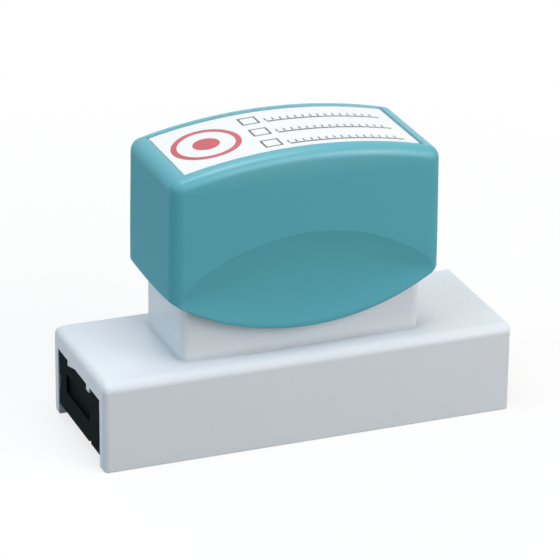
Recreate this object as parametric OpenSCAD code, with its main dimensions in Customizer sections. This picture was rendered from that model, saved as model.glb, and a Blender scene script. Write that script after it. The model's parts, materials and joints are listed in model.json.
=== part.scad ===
// Pre-inked hand stamp: a skirt with a neck, a sprung plunger that carries the dies, and a pull-off handle
// Millimetres, +Z up, origin under the middle of the skirt on the plane that it stands on

/* [Base] */
// Length of the skirt
base_l = 80; // [70:0.5:95]
// Width of the skirt
base_w = 29.5; // [25:0.1:36]
// Height of the skirt's top face
base_h = 17.4; // [15:0.1:24]
// Thickness of the skirt's long walls
base_wall = 2.7; // [1.8:0.1:3.6]
// Thickness of the skirt's top plate
plate_t = 3.9; // [2.4:0.1:4.6]
// Rounding of the skirt's long top edges
base_top_r = 1.9; // [1:0.1:3]
// Rounding of the skirt's short top edge at its left end
left_end_r = 2.2; // [0.4:0.1:2.4]
// Rounding of the walls' lower corners at the left end, seen from the front
left_foot_r = 0.6; // [0.2:0.1:2.4]
// Rounding of the skirt's short top edge at its right end
right_end_r = 0.6; // [0.4:0.1:2.4]
// Rounding of the walls' lower corners at the right end, seen from the front
right_foot_r = 0.3; // [0.2:0.1:2.4]
// Rounding of the skirt's upright corners at its left end
left_corner_r = 1.2; // [0.4:0.1:2]
// Rounding of the skirt's upright corners at its right end
right_corner_r = 0.5; // [0.4:0.1:2]
// Rounding of the long lower edges of the walls
foot_edge_r = 0.3; // [0.2:0.1:1]

/* [Neck] */
// Length of the neck
neck_l = 46.8; // [42:0.1:54]
// Width of the neck
neck_w = 19.8; // [18:0.1:21.5]
// Height of the neck above the skirt's top face
neck_h = 18.5; // [16:0.1:22]
// Thickness of the neck's wall
neck_wall = 1.8; // [1.2:0.1:2.4]
// Rounding of the neck's upright corners
neck_corner_r = 1.6; // [0.8:0.1:3]

/* [Handle] */
// Height of the handle, from the lowest point of its rim to the top of its crown
handle_h = 34.5; // [31:0.1:42]
// Gap between the handle's lowest point and the skirt's top face, at rest
handle_lift = 4.8; // [3:0.1:6]
// Gap between the neck and the inside of the handle
neck_gap = 0.45; // [0.3:0.05:0.8]
// Thickness of the handle's end walls
handle_end_wall = 2.3; // [1.4:0.1:3]
// Thickness of the handle's long walls where the scoops are deepest
scoop_wall = 1.1; // [0.8:0.1:2]
// Radius of the crown along the handle
crown_r = 100; // [70:1:160]
// Radius of the arched lower rim
rim_arc_r = 46.5; // [36:0.5:70]
// Rounding of the handle's upright and top edges, which meet in ball corners
handle_edge_r = 2.4; // [1:0.1:3]
// Thickness of the roof under the label recess
roof_t = 1.9; // [1.4:0.1:3]
// Radius of the arc at the top of a scoop
scoop_r = 38.3; // [32:0.1:50]
// Depth of a scoop
scoop_depth = 1.2; // [0.8:0.1:1.8]
// Drop from the top of the crown to the top of a scoop
scoop_drop = 15.9; // [12:0.1:20]
// Drop from the top of a scoop to the end of its upper slope
scoop_fall = 10.7; // [8:0.1:13]
// Distance that a scoop's lower slope would run on past the rim
scoop_lap = 0.6; // [0.4:0.1:1.5]
// Thickness of the socket's walls and of the webs beside it
socket_wall = 1.6; // [1.2:0.1:2.4]
// Gap between the plunger's boss and the handle's socket
socket_gap = 0.1; // [0.05:0.05:0.3]

/* [Label] */
// Width of the rim beyond each end of the label
label_end_rim = 2.9; // [1.8:0.1:5]
// Width of the rim along each side of the label
label_side_rim = 2.6; // [2.5:0.1:6]
// Thickness of the label card
card_t = 0.2; // [0.1:0.05:0.5]
// Thickness of the clear cover
cover_t = 0.3; // [0.2:0.05:1]
// Depth of the cover's face below the rim
cover_sink = 0.05; // [0:0.05:0.4]
// Gap round the label in its recess
label_gap = 0.12; // [0.05:0.01:0.3]

/* [Plunger] */
// Travel of the plunger, from rest to the paper
press_travel = 2.2; // [1.4:0.1:3]
// Gap between the die mount and the skirt's top plate at rest
stop_gap = 0.1; // [0.05:0.05:0.3]
// Gap between the die mount and each long wall
mount_gap = 0.3; // [0.2:0.05:0.6]
// Inset of the die mount from each end of the skirt
mount_inset = 0.15; // [0.1:0.05:1]
// Thickness of the die mount's roof
mount_roof = 2.6; // [2:0.1:3.4]
// Thickness of the die mount's long walls
mount_wall = 1.2; // [0.8:0.1:2]
// Thickness of the die mount's end walls
mount_end_wall = 1.8; // [1.2:0.1:3]
// Diameter of a post
post_d = 7; // [6.6:0.1:7.8]
// Gap round a post where it passes through the top plate
post_gap = 0.3; // [0.2:0.05:0.5]
// Diameter of a post's upper spigot
spigot_d = 5; // [4.4:0.1:6]
// Gap round a spigot in the plunger frame
spigot_gap = 0.05; // [0.02:0.01:0.15]
// Diameter of the ink channel in a post
ink_d = 3; // [2:0.1:3.6]
// Thickness of the plunger frame's plate
frame_t = 3; // [2:0.1:4]
// Gap between the plunger frame and the inside of the neck
frame_gap = 0.4; // [0.3:0.05:0.8]
// Depth of the plunger frame's top face below the top of the neck
frame_sink = 1; // [0.5:0.1:3]
// Length of the boss that carries the handle
boss_l = 20; // [14:0.5:22]
// Width of the boss
boss_w = 9; // [6:0.1:11]
// Height of the boss
boss_h = 9; // [6:0.1:10]
// Thickness of the boss's walls
boss_wall = 1.6; // [1:0.1:2.4]

/* [Springs] */
// Diameter of the spring wire
wire_d = 0.9; // [0.6:0.05:1.1]
// Gap between a spring and its post
spring_gap = 0.7; // [0.4:0.05:1]
// Gap between a spring and the end wall of the neck
spring_end_gap = 0.85; // [0.5:0.05:2]
// Turns in a spring
spring_turns = 7; // [5:1:8]
// Pitch of the first and last turns
end_pitch = 1.5; // [1.4:0.05:1.8]

/* [Dies] */
// Depth of the printing face below the die mount
die_proud = 0.15; // [0.1:0.05:0.8]
// Thickness of a die with its relief
die_t = 3.2; // [2.8:0.1:4]
// Height of the relief on a die
relief_h = 0.8; // [0.4:0.1:1.2]
// Thickness of a die's flange
flange_t = 1.2; // [0.8:0.1:1.4]
// Width of the frame that holds the flanges
frame_rim = 1.4; // [1:0.1:2.4]
// Gap round the dies, the pads, the barrier and the frame
pad_gap = 0.1; // [0.05:0.01:0.2]
// Thickness of the barrier between the inks
barrier_t = 1.2; // [0.8:0.1:2]
// Distance from the left post's axis to the barrier
barrier_offset = 2.6; // [2.4:0.1:6]

/* [End details] */
// Width of the recessed panel on the die mount's left end
panel_w = 13.7; // [10:0.1:16]
// Height of the recessed panel
panel_h = 3.8; // [3:0.1:5]
// Depth of the recessed panel
panel_depth = 0.6; // [0.3:0.1:1]
// Height of the panel's middle above the die mount's lower edge
panel_rise = 6; // [5:0.1:7]
// Sideways offset of the panel's middle
panel_shift = 0.7; // [-1:0.1:1]
// Depth of the locating tabs under the top plate
tab_depth = 1; // [0.6:0.1:1.4]
// Length of the locating tabs, from the end of the skirt
tab_l = 5; // [3:0.5:8]
// Gap round a locating tab
tab_gap = 0.2; // [0.15:0.05:0.4]
// Width of the wedge tab
wedge_tab_w = 4; // [3:0.1:5]
// Offset of the wedge tab's middle from the middle of the skirt
wedge_tab_y = 4.2; // [3.6:0.1:5]
// Width of the square tab
square_tab_w = 1.8; // [1.2:0.1:2.6]
// Offset of the square tab's middle on the other side
square_tab_y = 5.5; // [4.6:0.1:6.6]
// Height of the notch in each upright edge of the die mount
notch_h = 3.2; // [2:0.1:4]
// Depth of the notch
notch_depth = 0.5; // [0.3:0.1:0.9]
// Width of the nick in the die mount's lower left edge
nick_w = 1.2; // [0.8:0.1:2]
// Height and depth of the nick
nick_h = 0.4; // [0.2:0.1:0.8]
// Offset of the nick's middle towards the front
nick_y = 6.1; // [5:0.1:7]

/* [Hidden] */
$fn = 96;
// Overlap of a cut past the face it opens
cut = 1;
// Distance by which the outline that rounds one end of the skirt is longer than the skirt
end_run = 4;

// Levels of the skirt and neck
ceiling_z = base_h - plate_t;
neck_top = base_h + neck_h;

// Handle, sized round the neck
cavity_l = neck_l + 2 * neck_gap;
cavity_w = neck_w + 2 * neck_gap;
handle_l = cavity_l + 2 * handle_end_wall;
handle_w = cavity_w + 2 * (scoop_wall + scoop_depth);
handle_low = base_h + handle_lift;
crown_top = handle_low + handle_h;
crown_z = crown_top - crown_r;
edge_x = handle_l / 2 - handle_edge_r;
edge_y = handle_w / 2 - handle_edge_r;
edge_z = crown_z + sqrt(pow(crown_r - handle_edge_r, 2) - edge_x * edge_x);
// Step between the rolls at the short top edges and what they run into
roll_inset = 0.01;
// Distance from a roll's axis to the ends of the crown and of the walls
roll_lap = 0.05;
recess_depth = card_t + cover_t + cover_sink;
ceiling_r = crown_r - recess_depth - roof_t;
recess_l = handle_l - 2 * label_end_rim;
recess_w = handle_w - 2 * label_side_rim;

// Scoops: a hollow between two arcs, the scoop's own above and the rim's below
scoop_top = crown_top - scoop_drop;
scoop_z = scoop_top - scoop_r;
rim_z = handle_low + rim_arc_r;
// Height by which the lower slope's end lies above the upper slope's, so that the slopes cross
slope_step = 2;
rim_fall = scoop_top - scoop_fall + slope_step - handle_low + scoop_lap;

// Die mount and its stack
mount_l = base_l - 2 * mount_inset;
mount_w = base_w - 2 * base_wall - 2 * mount_gap;
mount_top = ceiling_z - stop_gap;
mount_low = press_travel + die_proud;
mount_h = mount_top - mount_low;
well_l = mount_l - 2 * mount_end_wall;
well_w = mount_w - 2 * mount_wall;
pad_top = mount_top - mount_roof;
die_top = press_travel + die_t;
flange_low = die_top - flange_t;
relief_top = press_travel + relief_h;
window_l = well_l - 2 * frame_rim;
window_w = well_w - 2 * frame_rim;

// Posts, springs and plunger frame
spring_d = post_d + 2 * spring_gap + wire_d;
neck_in_l = neck_l - 2 * neck_wall;
neck_in_w = neck_w - 2 * neck_wall;
post_x = neck_in_l / 2 - spring_end_gap - (spring_d + wire_d) / 2;
frame_top = neck_top - frame_sink;
frame_low = frame_top - frame_t;
frame_l = neck_in_l - 2 * frame_gap;
frame_w = neck_in_w - 2 * frame_gap;
barrier_x = barrier_offset - post_x;

// Springs stand between the top plate and the plunger frame
spring_clear = 0.03;
spring_low = base_h + wire_d / 2 + spring_clear;
spring_high = frame_low - wire_d / 2 - spring_clear;
spring_pitch = (spring_high - spring_low - 2 * end_pitch) / (spring_turns - 2);
spring_rings = 8;
spring_sides = 6;

// Relief of the dies: a ring on the left one, ruled bars and boxes on the right one
relief_margin = 2;
relief_bar = 1;
relief_rows = 3;

// Flat outline on the X axis, with its lower and upper corners rounded apart
module slab(w, h, low_r, high_r) {
    translate([-w / 2, low_r])
        square([w, h - low_r - high_r]);
    translate([low_r - w / 2, 0])
        square([w - 2 * low_r, h / 2]);
    translate([high_r - w / 2, h / 2])
        square([w - 2 * high_r, h / 2]);
    for (side = [-1, 1]) {
        translate([side * (w / 2 - low_r), low_r])
            circle(low_r);
        translate([side * (w / 2 - high_r), h - high_r])
            circle(high_r);
    }
}

// Upright block with rounded corners, centred on the origin
module pillar(l, w, h, r) {
    translate([0, -w / 2, 0])
        linear_extrude(h)
            slab(l, w, r, r);
}

// Block centred in X and Y, standing on Z = 0
module block(l, w, h) {
    translate([-l / 2, -w / 2, 0])
        cube([l, w, h]);
}

// Extrusion of a front view through the depth w
module front_view(w) {
    translate([0, w / 2, 0])
        rotate([90, 0, 0])
            linear_extrude(w)
                children();
}

// Extrusion of an end view through the length l
module end_view(l) {
    translate([-l / 2, 0, 0])
        rotate([90, 0, 90])
            linear_extrude(l)
                children();
}

// Locating tabs in the end view, hanging from the top plate; grow widens them for their grooves
module tab_outlines(grow) {
    inner = wedge_tab_y - wedge_tab_w / 2 - grow;
    outer = wedge_tab_y + wedge_tab_w / 2 + grow;
    translate([0, ceiling_z])
        polygon([[inner, cut], [outer, cut], [outer, -tab_depth - grow], [inner, -grow]]);
    translate([-square_tab_y - square_tab_w / 2 - grow, ceiling_z - tab_depth - grow])
        square([square_tab_w + 2 * grow, tab_depth + grow + cut]);
}

// Outline as long as the skirt, each of whose ends has roundings of its own
module two_end_slab(h, left_low_r, left_high_r, right_low_r, right_high_r) {
    intersection() {
        translate([end_run / 2, 0])
            slab(base_l + end_run, h, left_low_r, left_high_r);
        translate([-end_run / 2, 0])
            slab(base_l + end_run, h, right_low_r, right_high_r);
    }
}

// Skirt, neck, post holes and locating tabs
module base_shell() {
    color("lightsteelblue") {
        difference() {
            union() {
                intersection() {
                    front_view(base_w)
                        two_end_slab(base_h, left_foot_r, left_end_r,
                            right_foot_r, right_end_r);
                    end_view(base_l)
                        slab(base_w, base_h, foot_edge_r, base_top_r);
                    translate([0, -base_w / 2, 0])
                        linear_extrude(base_h)
                            two_end_slab(base_w, left_corner_r, left_corner_r,
                                right_corner_r, right_corner_r);
                }
                translate([0, 0, ceiling_z])
                    pillar(neck_l, neck_w, neck_h + plate_t, neck_corner_r);
            }
            translate([0, 0, -cut])
                block(base_l + 2 * cut, base_w - 2 * base_wall, ceiling_z + cut);
            translate([0, 0, base_h])
                block(neck_in_l, neck_in_w, neck_h + cut);
            for (side = [-1, 1])
                translate([side * post_x, 0, ceiling_z - cut])
                    cylinder(h = plate_t + 2 * cut, d = post_d + 2 * post_gap);
        }
        for (side = [-1, 1])
            translate([side * (base_l - tab_l) / 2, 0, 0])
                end_view(tab_l)
                    tab_outlines(0);
    }
}

// Crown between its two ends, turned about its axis, with the long top edges rounded
module crown_arc() {
    lean = acos((edge_x + roll_lap) / (crown_r - handle_edge_r));
    depth = crown_top - edge_z + handle_edge_r;
    translate([0, 0, crown_z])
        rotate([90, 0, 0])
            rotate(lean)
                rotate_extrude(angle = 180 - 2 * lean, $fn = 360)
                    translate([crown_r - depth, 0])
                        rotate(-90)
                            slab(handle_w, depth, handle_edge_r / 2, handle_edge_r);
}

// Round-ended roll along a short top edge, whose ends are the balls of the corners
module end_roll() {
    roll_r = handle_edge_r - roll_inset;
    translate([edge_x, 0, edge_z])
        rotate([90, 0, 0])
            rotate_extrude()
                intersection() {
                    union() {
                        translate([0, -edge_y])
                            square([roll_r, 2 * edge_y]);
                        for (side = [-1, 1])
                            translate([0, side * edge_y])
                                circle(roll_r);
                    }
                    translate([0, -handle_w / 2])
                        square([roll_r, handle_w]);
                }
}

// Walls up to the ends of the crown, arched at the rim
module handle_walls() {
    intersection() {
        translate([0, 0, handle_low])
            pillar(handle_l, handle_w, edge_z - roll_lap - handle_low, handle_edge_r);
        translate([0, 0, rim_z])
            rotate([90, 0, 0])
                cylinder(h = handle_w + 2 * cut, r = rim_arc_r, center = true, $fn = 360);
    }
}

// Ring-shaped hollow in the front wall, turned about a level axis, whose slope falls inwards from its edge
module scoop_slope(axis_z, edge_r, fall) {
    section_r = (fall * fall + scoop_depth * scoop_depth) / (2 * scoop_depth);
    translate([0, 0, axis_z])
        rotate([90, 0, 0])
            rotate_extrude($fn = 360)
                intersection() {
                    translate([edge_r - fall, handle_w / 2 - scoop_depth + section_r])
                        circle(section_r, $fn = 360);
                    translate([0, handle_w / 2 - 2 * scoop_depth])
                        square([edge_r + cut, 3 * scoop_depth]);
                }
}

// Tool that hollows one scoop in the front wall
module scoop_tool() {
    intersection() {
        scoop_slope(scoop_z, scoop_r, scoop_fall);
        scoop_slope(rim_z, rim_arc_r + scoop_lap, rim_fall);
    }
}

// Everything between two radii about the crown's axis, cut to a length and a width
module crowned_sheet(l, w, inner_r, outer_r) {
    intersection() {
        translate([0, 0, crown_z])
            rotate([90, 0, 0])
                difference() {
                    cylinder(h = w, r = outer_r, center = true, $fn = 360);
                    cylinder(h = w + 2 * cut, r = inner_r, center = true, $fn = 360);
                }
        translate([0, 0, handle_low])
            block(l, w + 2 * cut, handle_h + cut);
    }
}

// Socket for the plunger's boss, with webs to the end walls, hung from the roof
module handle_socket() {
    socket_l = boss_l + 2 * (socket_gap + socket_wall);
    socket_w = boss_w + 2 * (socket_gap + socket_wall);
    web_low = neck_top + press_travel + cut;
    intersection() {
        union() {
            difference() {
                translate([0, 0, frame_top + socket_gap])
                    block(socket_l, socket_w, handle_h);
                translate([0, 0, frame_top])
                    block(boss_l + 2 * socket_gap, boss_w + 2 * socket_gap, handle_h + cut);
            }
            for (side = [-1, 1])
                translate([side * (cavity_l + socket_l) / 4, 0, web_low])
                    block((cavity_l - socket_l) / 2 + cut, socket_wall, handle_h);
        }
        translate([0, 0, crown_z])
            rotate([90, 0, 0])
                cylinder(h = handle_w, r = ceiling_r + cut / 2, center = true, $fn = 360);
    }
}

// Grip: crowned shell with scoops, label recess and socket
module handle_shell() {
    color("cadetblue") {
        difference() {
            union() {
                handle_walls();
                crown_arc();
                for (turn = [0, 1])
                    mirror([turn, 0, 0])
                        end_roll();
            }
            scoop_tool();
            mirror([0, 1, 0])
                scoop_tool();
            crowned_sheet(recess_l, recess_w, crown_r - recess_depth, crown_r + cut);
            intersection() {
                translate([0, 0, handle_low - cut])
                    block(cavity_l, cavity_w, handle_h + cut);
                translate([0, 0, crown_z])
                    rotate([90, 0, 0])
                        cylinder(h = handle_w, r = ceiling_r, center = true, $fn = 360);
            }
        }
        handle_socket();
    }
}

// Printed card on the floor of the label recess
module label_card() {
    floor_r = crown_r - recess_depth;
    color("white")
        crowned_sheet(recess_l - 2 * label_gap, recess_w - 2 * label_gap, floor_r, floor_r + card_t);
}

// Clear cover on the card
module label_cover() {
    face_r = crown_r - cover_sink;
    color("aliceblue", 0.3)
        crowned_sheet(recess_l - 2 * label_gap, recess_w - 2 * label_gap, face_r - cover_t, face_r);
}

// Plate on the posts, with the hollow boss that the handle sits on
module plunger_frame() {
    color("dimgray")
        difference() {
            union() {
                translate([0, 0, frame_low])
                    block(frame_l, frame_w, frame_t);
                translate([0, 0, frame_low])
                    block(boss_l, boss_w, frame_t + boss_h);
            }
            translate([0, 0, frame_top])
                block(boss_l - 2 * boss_wall, boss_w - 2 * boss_wall, boss_h + cut);
            for (side = [-1, 1])
                translate([side * post_x, 0, frame_low - cut])
                    cylinder(h = frame_t + 2 * cut, d = spigot_d + 2 * spigot_gap);
        }
}

// Holder of the dies and pads, with two hollow posts that take ink from above
module die_mount() {
    notch_low = mount_low + panel_rise - panel_h / 2 - 2 * notch_depth;
    color("black")
        difference() {
            union() {
                translate([0, 0, mount_low])
                    block(mount_l, mount_w, mount_h);
                for (side = [-1, 1])
                    translate([side * post_x, 0, pad_top]) {
                        cylinder(h = frame_low - pad_top, d = post_d);
                        cylinder(h = frame_top - pad_top, d = spigot_d);
                    }
            }
            translate([0, 0, mount_low - cut])
                block(well_l, well_w, pad_top - mount_low + cut);
            for (side = [-1, 1]) {
                translate([side * post_x, 0, pad_top - cut])
                    cylinder(h = frame_top - pad_top + 2 * cut, d = ink_d);
                translate([side * (base_l - tab_l) / 2, 0, 0])
                    end_view(tab_l + 2 * tab_gap)
                        tab_outlines(tab_gap);
                for (edge = [-1, 1])
                    translate([side * mount_l / 2, edge * mount_w / 2, notch_low])
                        block(2 * notch_h, 2 * notch_depth, notch_h);
            }
            translate([-mount_l / 2, panel_shift, mount_low + panel_rise - panel_h / 2])
                block(2 * panel_depth, panel_w, panel_h);
            translate([-mount_l / 2, -nick_y, mount_low - nick_h])
                block(2 * nick_h, nick_w, 2 * nick_h);
        }
}

// Centre line of a spring at a number of turns
function spring_level(turn) =
    spring_low
    + end_pitch * min(turn, 1)
    + spring_pitch * max(0, min(turn - 1, spring_turns - 2))
    + end_pitch * max(0, turn - spring_turns + 1);
function spring_point(turn) =
    [spring_d / 2 * cos(360 * turn), spring_d / 2 * sin(360 * turn), spring_level(turn)];

// Least gap between the turns of a spring, measured on its centre line
spring_steps = spring_turns * spring_rings;
spring_axis = [for (i = [0:spring_steps]) spring_point(i / spring_rings)];
spring_self_gap = min([
    for (i = [0:spring_steps], j = [i + spring_rings / 2:spring_steps])
        norm(spring_axis[i] - spring_axis[j])
]) - wire_d;
echo(spring_self_gap = spring_self_gap);

// Coil swept as one tube along its centre line
module coil() {
    points = [
        for (i = [0:spring_steps], k = [0:spring_sides - 1])
            let (turn = i / spring_rings, a = 360 * k / spring_sides, r = spring_d / 2 + wire_d / 2 * cos(a))
                [r * cos(360 * turn), r * sin(360 * turn), spring_level(turn) + wire_d / 2 * sin(a)]
    ];
    sides = [
        for (i = [0:spring_steps - 1], k = [0:spring_sides - 1])
            let (n = (k + 1) % spring_sides, a = i * spring_sides, b = a + spring_sides)
                each [[a + k, a + n, b + k], [a + n, b + n, b + k]]
    ];
    last = spring_steps * spring_sides;
    ends = [
        for (k = [1:spring_sides - 2])
            each [[0, k + 1, k], [last, last + k, last + k + 1]]
    ];
    polyhedron(points, concat(sides, ends));
}

module spring_left() {
    color("silver")
        translate([-post_x, 0, 0])
            coil();
}

module spring_right() {
    color("silver")
        translate([post_x, 0, 0])
            coil();
}

// Ends of the left and right compartments along X, less the gap
left_span = [pad_gap - well_l / 2, barrier_x - barrier_t / 2 - pad_gap];
right_span = [barrier_x + barrier_t / 2 + pad_gap, well_l / 2 - pad_gap];

// Block across a span of X, centred in Y
module span_block(span, w, low, high) {
    translate([span[0], -w / 2, low])
        cube([span[1] - span[0], w, high - low]);
}

module ink_pad_red() {
    color("firebrick")
        span_block(left_span, well_w - 2 * pad_gap, die_top, pad_top);
}

module ink_pad_black() {
    color("darkslategray")
        span_block(right_span, well_w - 2 * pad_gap, die_top, pad_top);
}

// Strip between the inks, narrowed below to pass inside the die frame
module ink_barrier() {
    span = [barrier_x - barrier_t / 2, barrier_x + barrier_t / 2];
    color("gainsboro") {
        span_block(span, well_w - 2 * pad_gap, flange_low, pad_top);
        span_block(span, window_w - 2 * pad_gap, relief_top, flange_low);
    }
}

// Die blank across a span: a flange above and a face inside the frame's window
module die_blank(span, face) {
    span_block(span, well_w - 2 * pad_gap, flange_low, die_top);
    span_block(face, window_w - 2 * pad_gap, relief_top, flange_low);
}

left_face = [pad_gap - window_l / 2, left_span[1]];
right_face = [right_span[0], window_l / 2 - pad_gap];

// Left die, with a raised ring and dot
module die_red() {
    centre = (left_face[0] + left_face[1]) / 2;
    ring_r = (min(window_w, left_face[1] - left_face[0]) - 2 * relief_margin) / 2;
    color("indianred") {
        die_blank(left_span, left_face);
        translate([centre, 0, press_travel]) {
            difference() {
                cylinder(h = relief_h, r = ring_r);
                translate([0, 0, -cut])
                    cylinder(h = relief_h + cut, r = ring_r - 2 * relief_bar);
            }
            cylinder(h = relief_h, r = ring_r / 2);
        }
    }
}

// Right die, with raised bars and boxes in rows
module die_black() {
    row = (window_w - 2 * relief_margin) / relief_rows;
    start = right_face[0] + relief_margin;
    finish = right_face[1] - relief_margin;
    color("darkslategray") {
        die_blank(right_span, right_face);
        for (i = [0:relief_rows - 1])
            translate([0, (i + 0.5 - relief_rows / 2) * row, 0]) {
                span_block([start, start + row / 2], row / 2, press_travel, relief_top);
                span_block([start + row, finish], relief_bar, press_travel, relief_top);
            }
    }
}

// Rim that holds the flanges up against the pads
module die_frame() {
    color("black")
        difference() {
            translate([0, 0, mount_low])
                block(well_l - 2 * pad_gap, well_w - 2 * pad_gap, flange_low - mount_low);
            translate([0, 0, mount_low - cut])
                block(window_l, window_w, flange_low - mount_low + 2 * cut);
        }
}

base_shell();
handle_shell();
label_card();
label_cover();
plunger_frame();
die_mount();
spring_left();
spring_right();
ink_pad_red();
ink_pad_black();
ink_barrier();
die_red();
die_black();
die_frame();
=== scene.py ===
"""Looks of a two-colour pre-inked hand stamp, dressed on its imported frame.

Meshes are drawn in millimetres, which is the unit of every size that names no other, and are scaled to
metres when they are finished.
"""

from __future__ import annotations

import json
import logging
import math
from dataclasses import dataclass
from enum import Enum
from typing import Callable, ClassVar, Sequence

import bmesh
import bpy
from mathutils import Matrix, Vector

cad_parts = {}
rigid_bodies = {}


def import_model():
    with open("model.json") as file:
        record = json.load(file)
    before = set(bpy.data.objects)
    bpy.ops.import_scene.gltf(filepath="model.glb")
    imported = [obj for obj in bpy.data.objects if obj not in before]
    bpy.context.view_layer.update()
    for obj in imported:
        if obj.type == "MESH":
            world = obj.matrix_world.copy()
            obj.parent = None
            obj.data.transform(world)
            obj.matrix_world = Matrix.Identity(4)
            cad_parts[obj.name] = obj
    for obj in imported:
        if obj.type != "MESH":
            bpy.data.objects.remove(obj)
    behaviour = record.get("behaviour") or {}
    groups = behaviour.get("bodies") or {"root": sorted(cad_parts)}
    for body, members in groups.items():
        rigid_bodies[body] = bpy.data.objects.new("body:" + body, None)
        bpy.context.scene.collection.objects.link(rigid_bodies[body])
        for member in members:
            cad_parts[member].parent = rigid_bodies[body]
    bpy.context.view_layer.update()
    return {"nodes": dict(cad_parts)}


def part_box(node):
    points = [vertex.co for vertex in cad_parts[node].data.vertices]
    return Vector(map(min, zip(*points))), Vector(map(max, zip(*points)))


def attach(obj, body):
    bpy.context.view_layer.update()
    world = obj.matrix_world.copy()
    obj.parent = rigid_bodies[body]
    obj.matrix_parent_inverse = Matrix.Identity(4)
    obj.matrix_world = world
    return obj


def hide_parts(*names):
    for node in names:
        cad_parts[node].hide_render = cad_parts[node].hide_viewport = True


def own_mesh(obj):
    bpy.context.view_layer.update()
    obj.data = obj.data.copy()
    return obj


LOG = logging.getLogger("stamp")
MM = 0.001

# Distance below which points are merged, and below which they count as level
MERGE = 1e-3
SAME = 1e-4

# How far a tool runs on past what it cuts or joins
PAST = 1.0

# Share of its radius by which the middle of a quarter round stays back from the corner
ROUND_MIDDLE = 0.3

# Segments in a rounded edge and corners of a drilled hole
ROUND_STEPS = 8
HOLE_STEPS = 48

# Least angle of a sharp edge on most pieces, in degrees
SHARP_DEG = 40.0

# Range from nothing to all, the range that a noise seldom leaves, and that of light from an inner corner
UNIT = (0.0, 1.0)
NOISE_RANGE = (0.15, 0.85)
CORNER_RANGE = (0.5, 1.0)

WHITE = (1.0, 1.0, 1.0, 1.0)

Colour = tuple[float, float, float]
Point2 = tuple[float, float]
Point3 = tuple[float, float, float]
Drawing = bmesh.types.BMesh
Node = bpy.types.Node
Piece = bpy.types.Object
Socket = bpy.types.NodeSocket
Tree = bpy.types.NodeTree


class Body(Enum):
    """Bodies of the frame that pieces ride on."""

    BASE = "base"
    PLUNGER = "plunger"
    HANDLE = "handle"


class Axis(Enum):
    """Direction that a flat outline is drawn out along."""

    X = 0
    Y = 1
    Z = 2


class Join(Enum):
    """Ways to combine two solids."""

    ADD = "UNION"
    CUT = "DIFFERENCE"


def spread(low: float, high: float, count: int) -> list[float]:
    """Spaces values evenly.

    Args:
        low: First value.
        high: Last value.
        count: Number of steps between them.

    Returns:
        The values, one more than the steps.
    """
    return [low + (high - low) * i / count for i in range(count + 1)]


def arch(radius: float, along: float) -> float:
    """Returns the height of a circle of that radius above its centre, at a distance along it."""
    return math.sqrt(radius * radius - along * along)


# Mesh helpers


def redraw(mesh: bpy.types.Mesh, change: Callable[[Drawing], None]) -> None:
    """Changes a mesh with a function.

    Args:
        mesh: The mesh, which may be empty.
        change: Function that adds to the mesh's drawing or changes it.
    """
    drawing = bmesh.new()
    drawing.from_mesh(mesh)
    change(drawing)
    drawing.to_mesh(mesh)
    drawing.free()


def object_from(name: str, grow: Callable[[Drawing], None]) -> Piece:
    """Makes an object whose mesh is drawn by a function.

    Args:
        name: Name of the object and its mesh.
        grow: Function that adds vertices and faces to an empty mesh.

    Returns:
        The object, linked to the scene, still in millimetres.
    """
    mesh = bpy.data.meshes.new(name)
    redraw(mesh, grow)
    obj = bpy.data.objects.new(name, mesh)
    bpy.context.scene.collection.objects.link(obj)
    return obj


def prism(name: str, outline: Sequence[Point2], axis: Axis, low: float, high: float) -> Piece:
    """Draws a flat outline out into a closed solid.

    Args:
        name: Name of the object.
        outline: Corners in order, as the two coordinates that aren't the axis, in X, Y, Z order.
        axis: Direction that the outline is drawn out along.
        low: Where the solid starts along the axis.
        high: Where it ends.

    Returns:
        The solid.
    """

    def face(drawing: Drawing, level: float) -> list[bmesh.types.BMVert]:
        """Draws the outline as a face at a level, and returns its corners."""
        places = [(*point[: axis.value], level, *point[axis.value :]) for point in outline]
        return drawing.faces.new([drawing.verts.new(place) for place in places]).verts[:]

    def grow(drawing: Drawing) -> None:
        """Draws both end faces and the sides between them.

        Args:
            drawing: The empty mesh.
        """
        near, far = face(drawing, low), face(drawing, high)
        for i in range(len(outline)):
            drawing.faces.new((near[i - 1], near[i], far[i], far[i - 1]))
        bmesh.ops.recalc_face_normals(drawing, faces=drawing.faces[:])

    return object_from(name, grow)


def box_outline(low_a: float, high_a: float, low_b: float, high_b: float) -> list[Point2]:
    """Returns the four corners of a rectangle."""
    return [(low_a, low_b), (high_a, low_b), (high_a, high_b), (low_a, high_b)]


def centred_outline(length: float, width: float) -> list[Point2]:
    """Returns the four corners of a rectangle about the origin."""
    return box_outline(-length / 2, length / 2, -width / 2, width / 2)


def round_outline(length: float, width: float, radius: float) -> list[Point2]:
    """Draws a rectangle with rounded corners about the origin.

    Args:
        length: Size along the first coordinate.
        width: Size along the second coordinate.
        radius: Radius of the corners.

    Returns:
        The corners of the outline in order.
    """
    points = []
    for quarter, (side_a, side_b) in enumerate([(1, 1), (-1, 1), (-1, -1), (1, -1)]):
        for turn in spread(quarter * math.pi / 2, (quarter + 1) * math.pi / 2, ROUND_STEPS):
            a = side_a * (length / 2 - radius) + radius * math.cos(turn)
            b = side_b * (width / 2 - radius) + radius * math.sin(turn)
            points.append((a, b))
    return points


def disc_outline(centre: Point2, radius: float) -> list[Point2]:
    """Returns a circle as a polygon."""
    turns = [2 * math.pi * i / HOLE_STEPS for i in range(HOLE_STEPS)]
    return [(centre[0] + radius * math.cos(t), centre[1] + radius * math.sin(t)) for t in turns]


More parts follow.
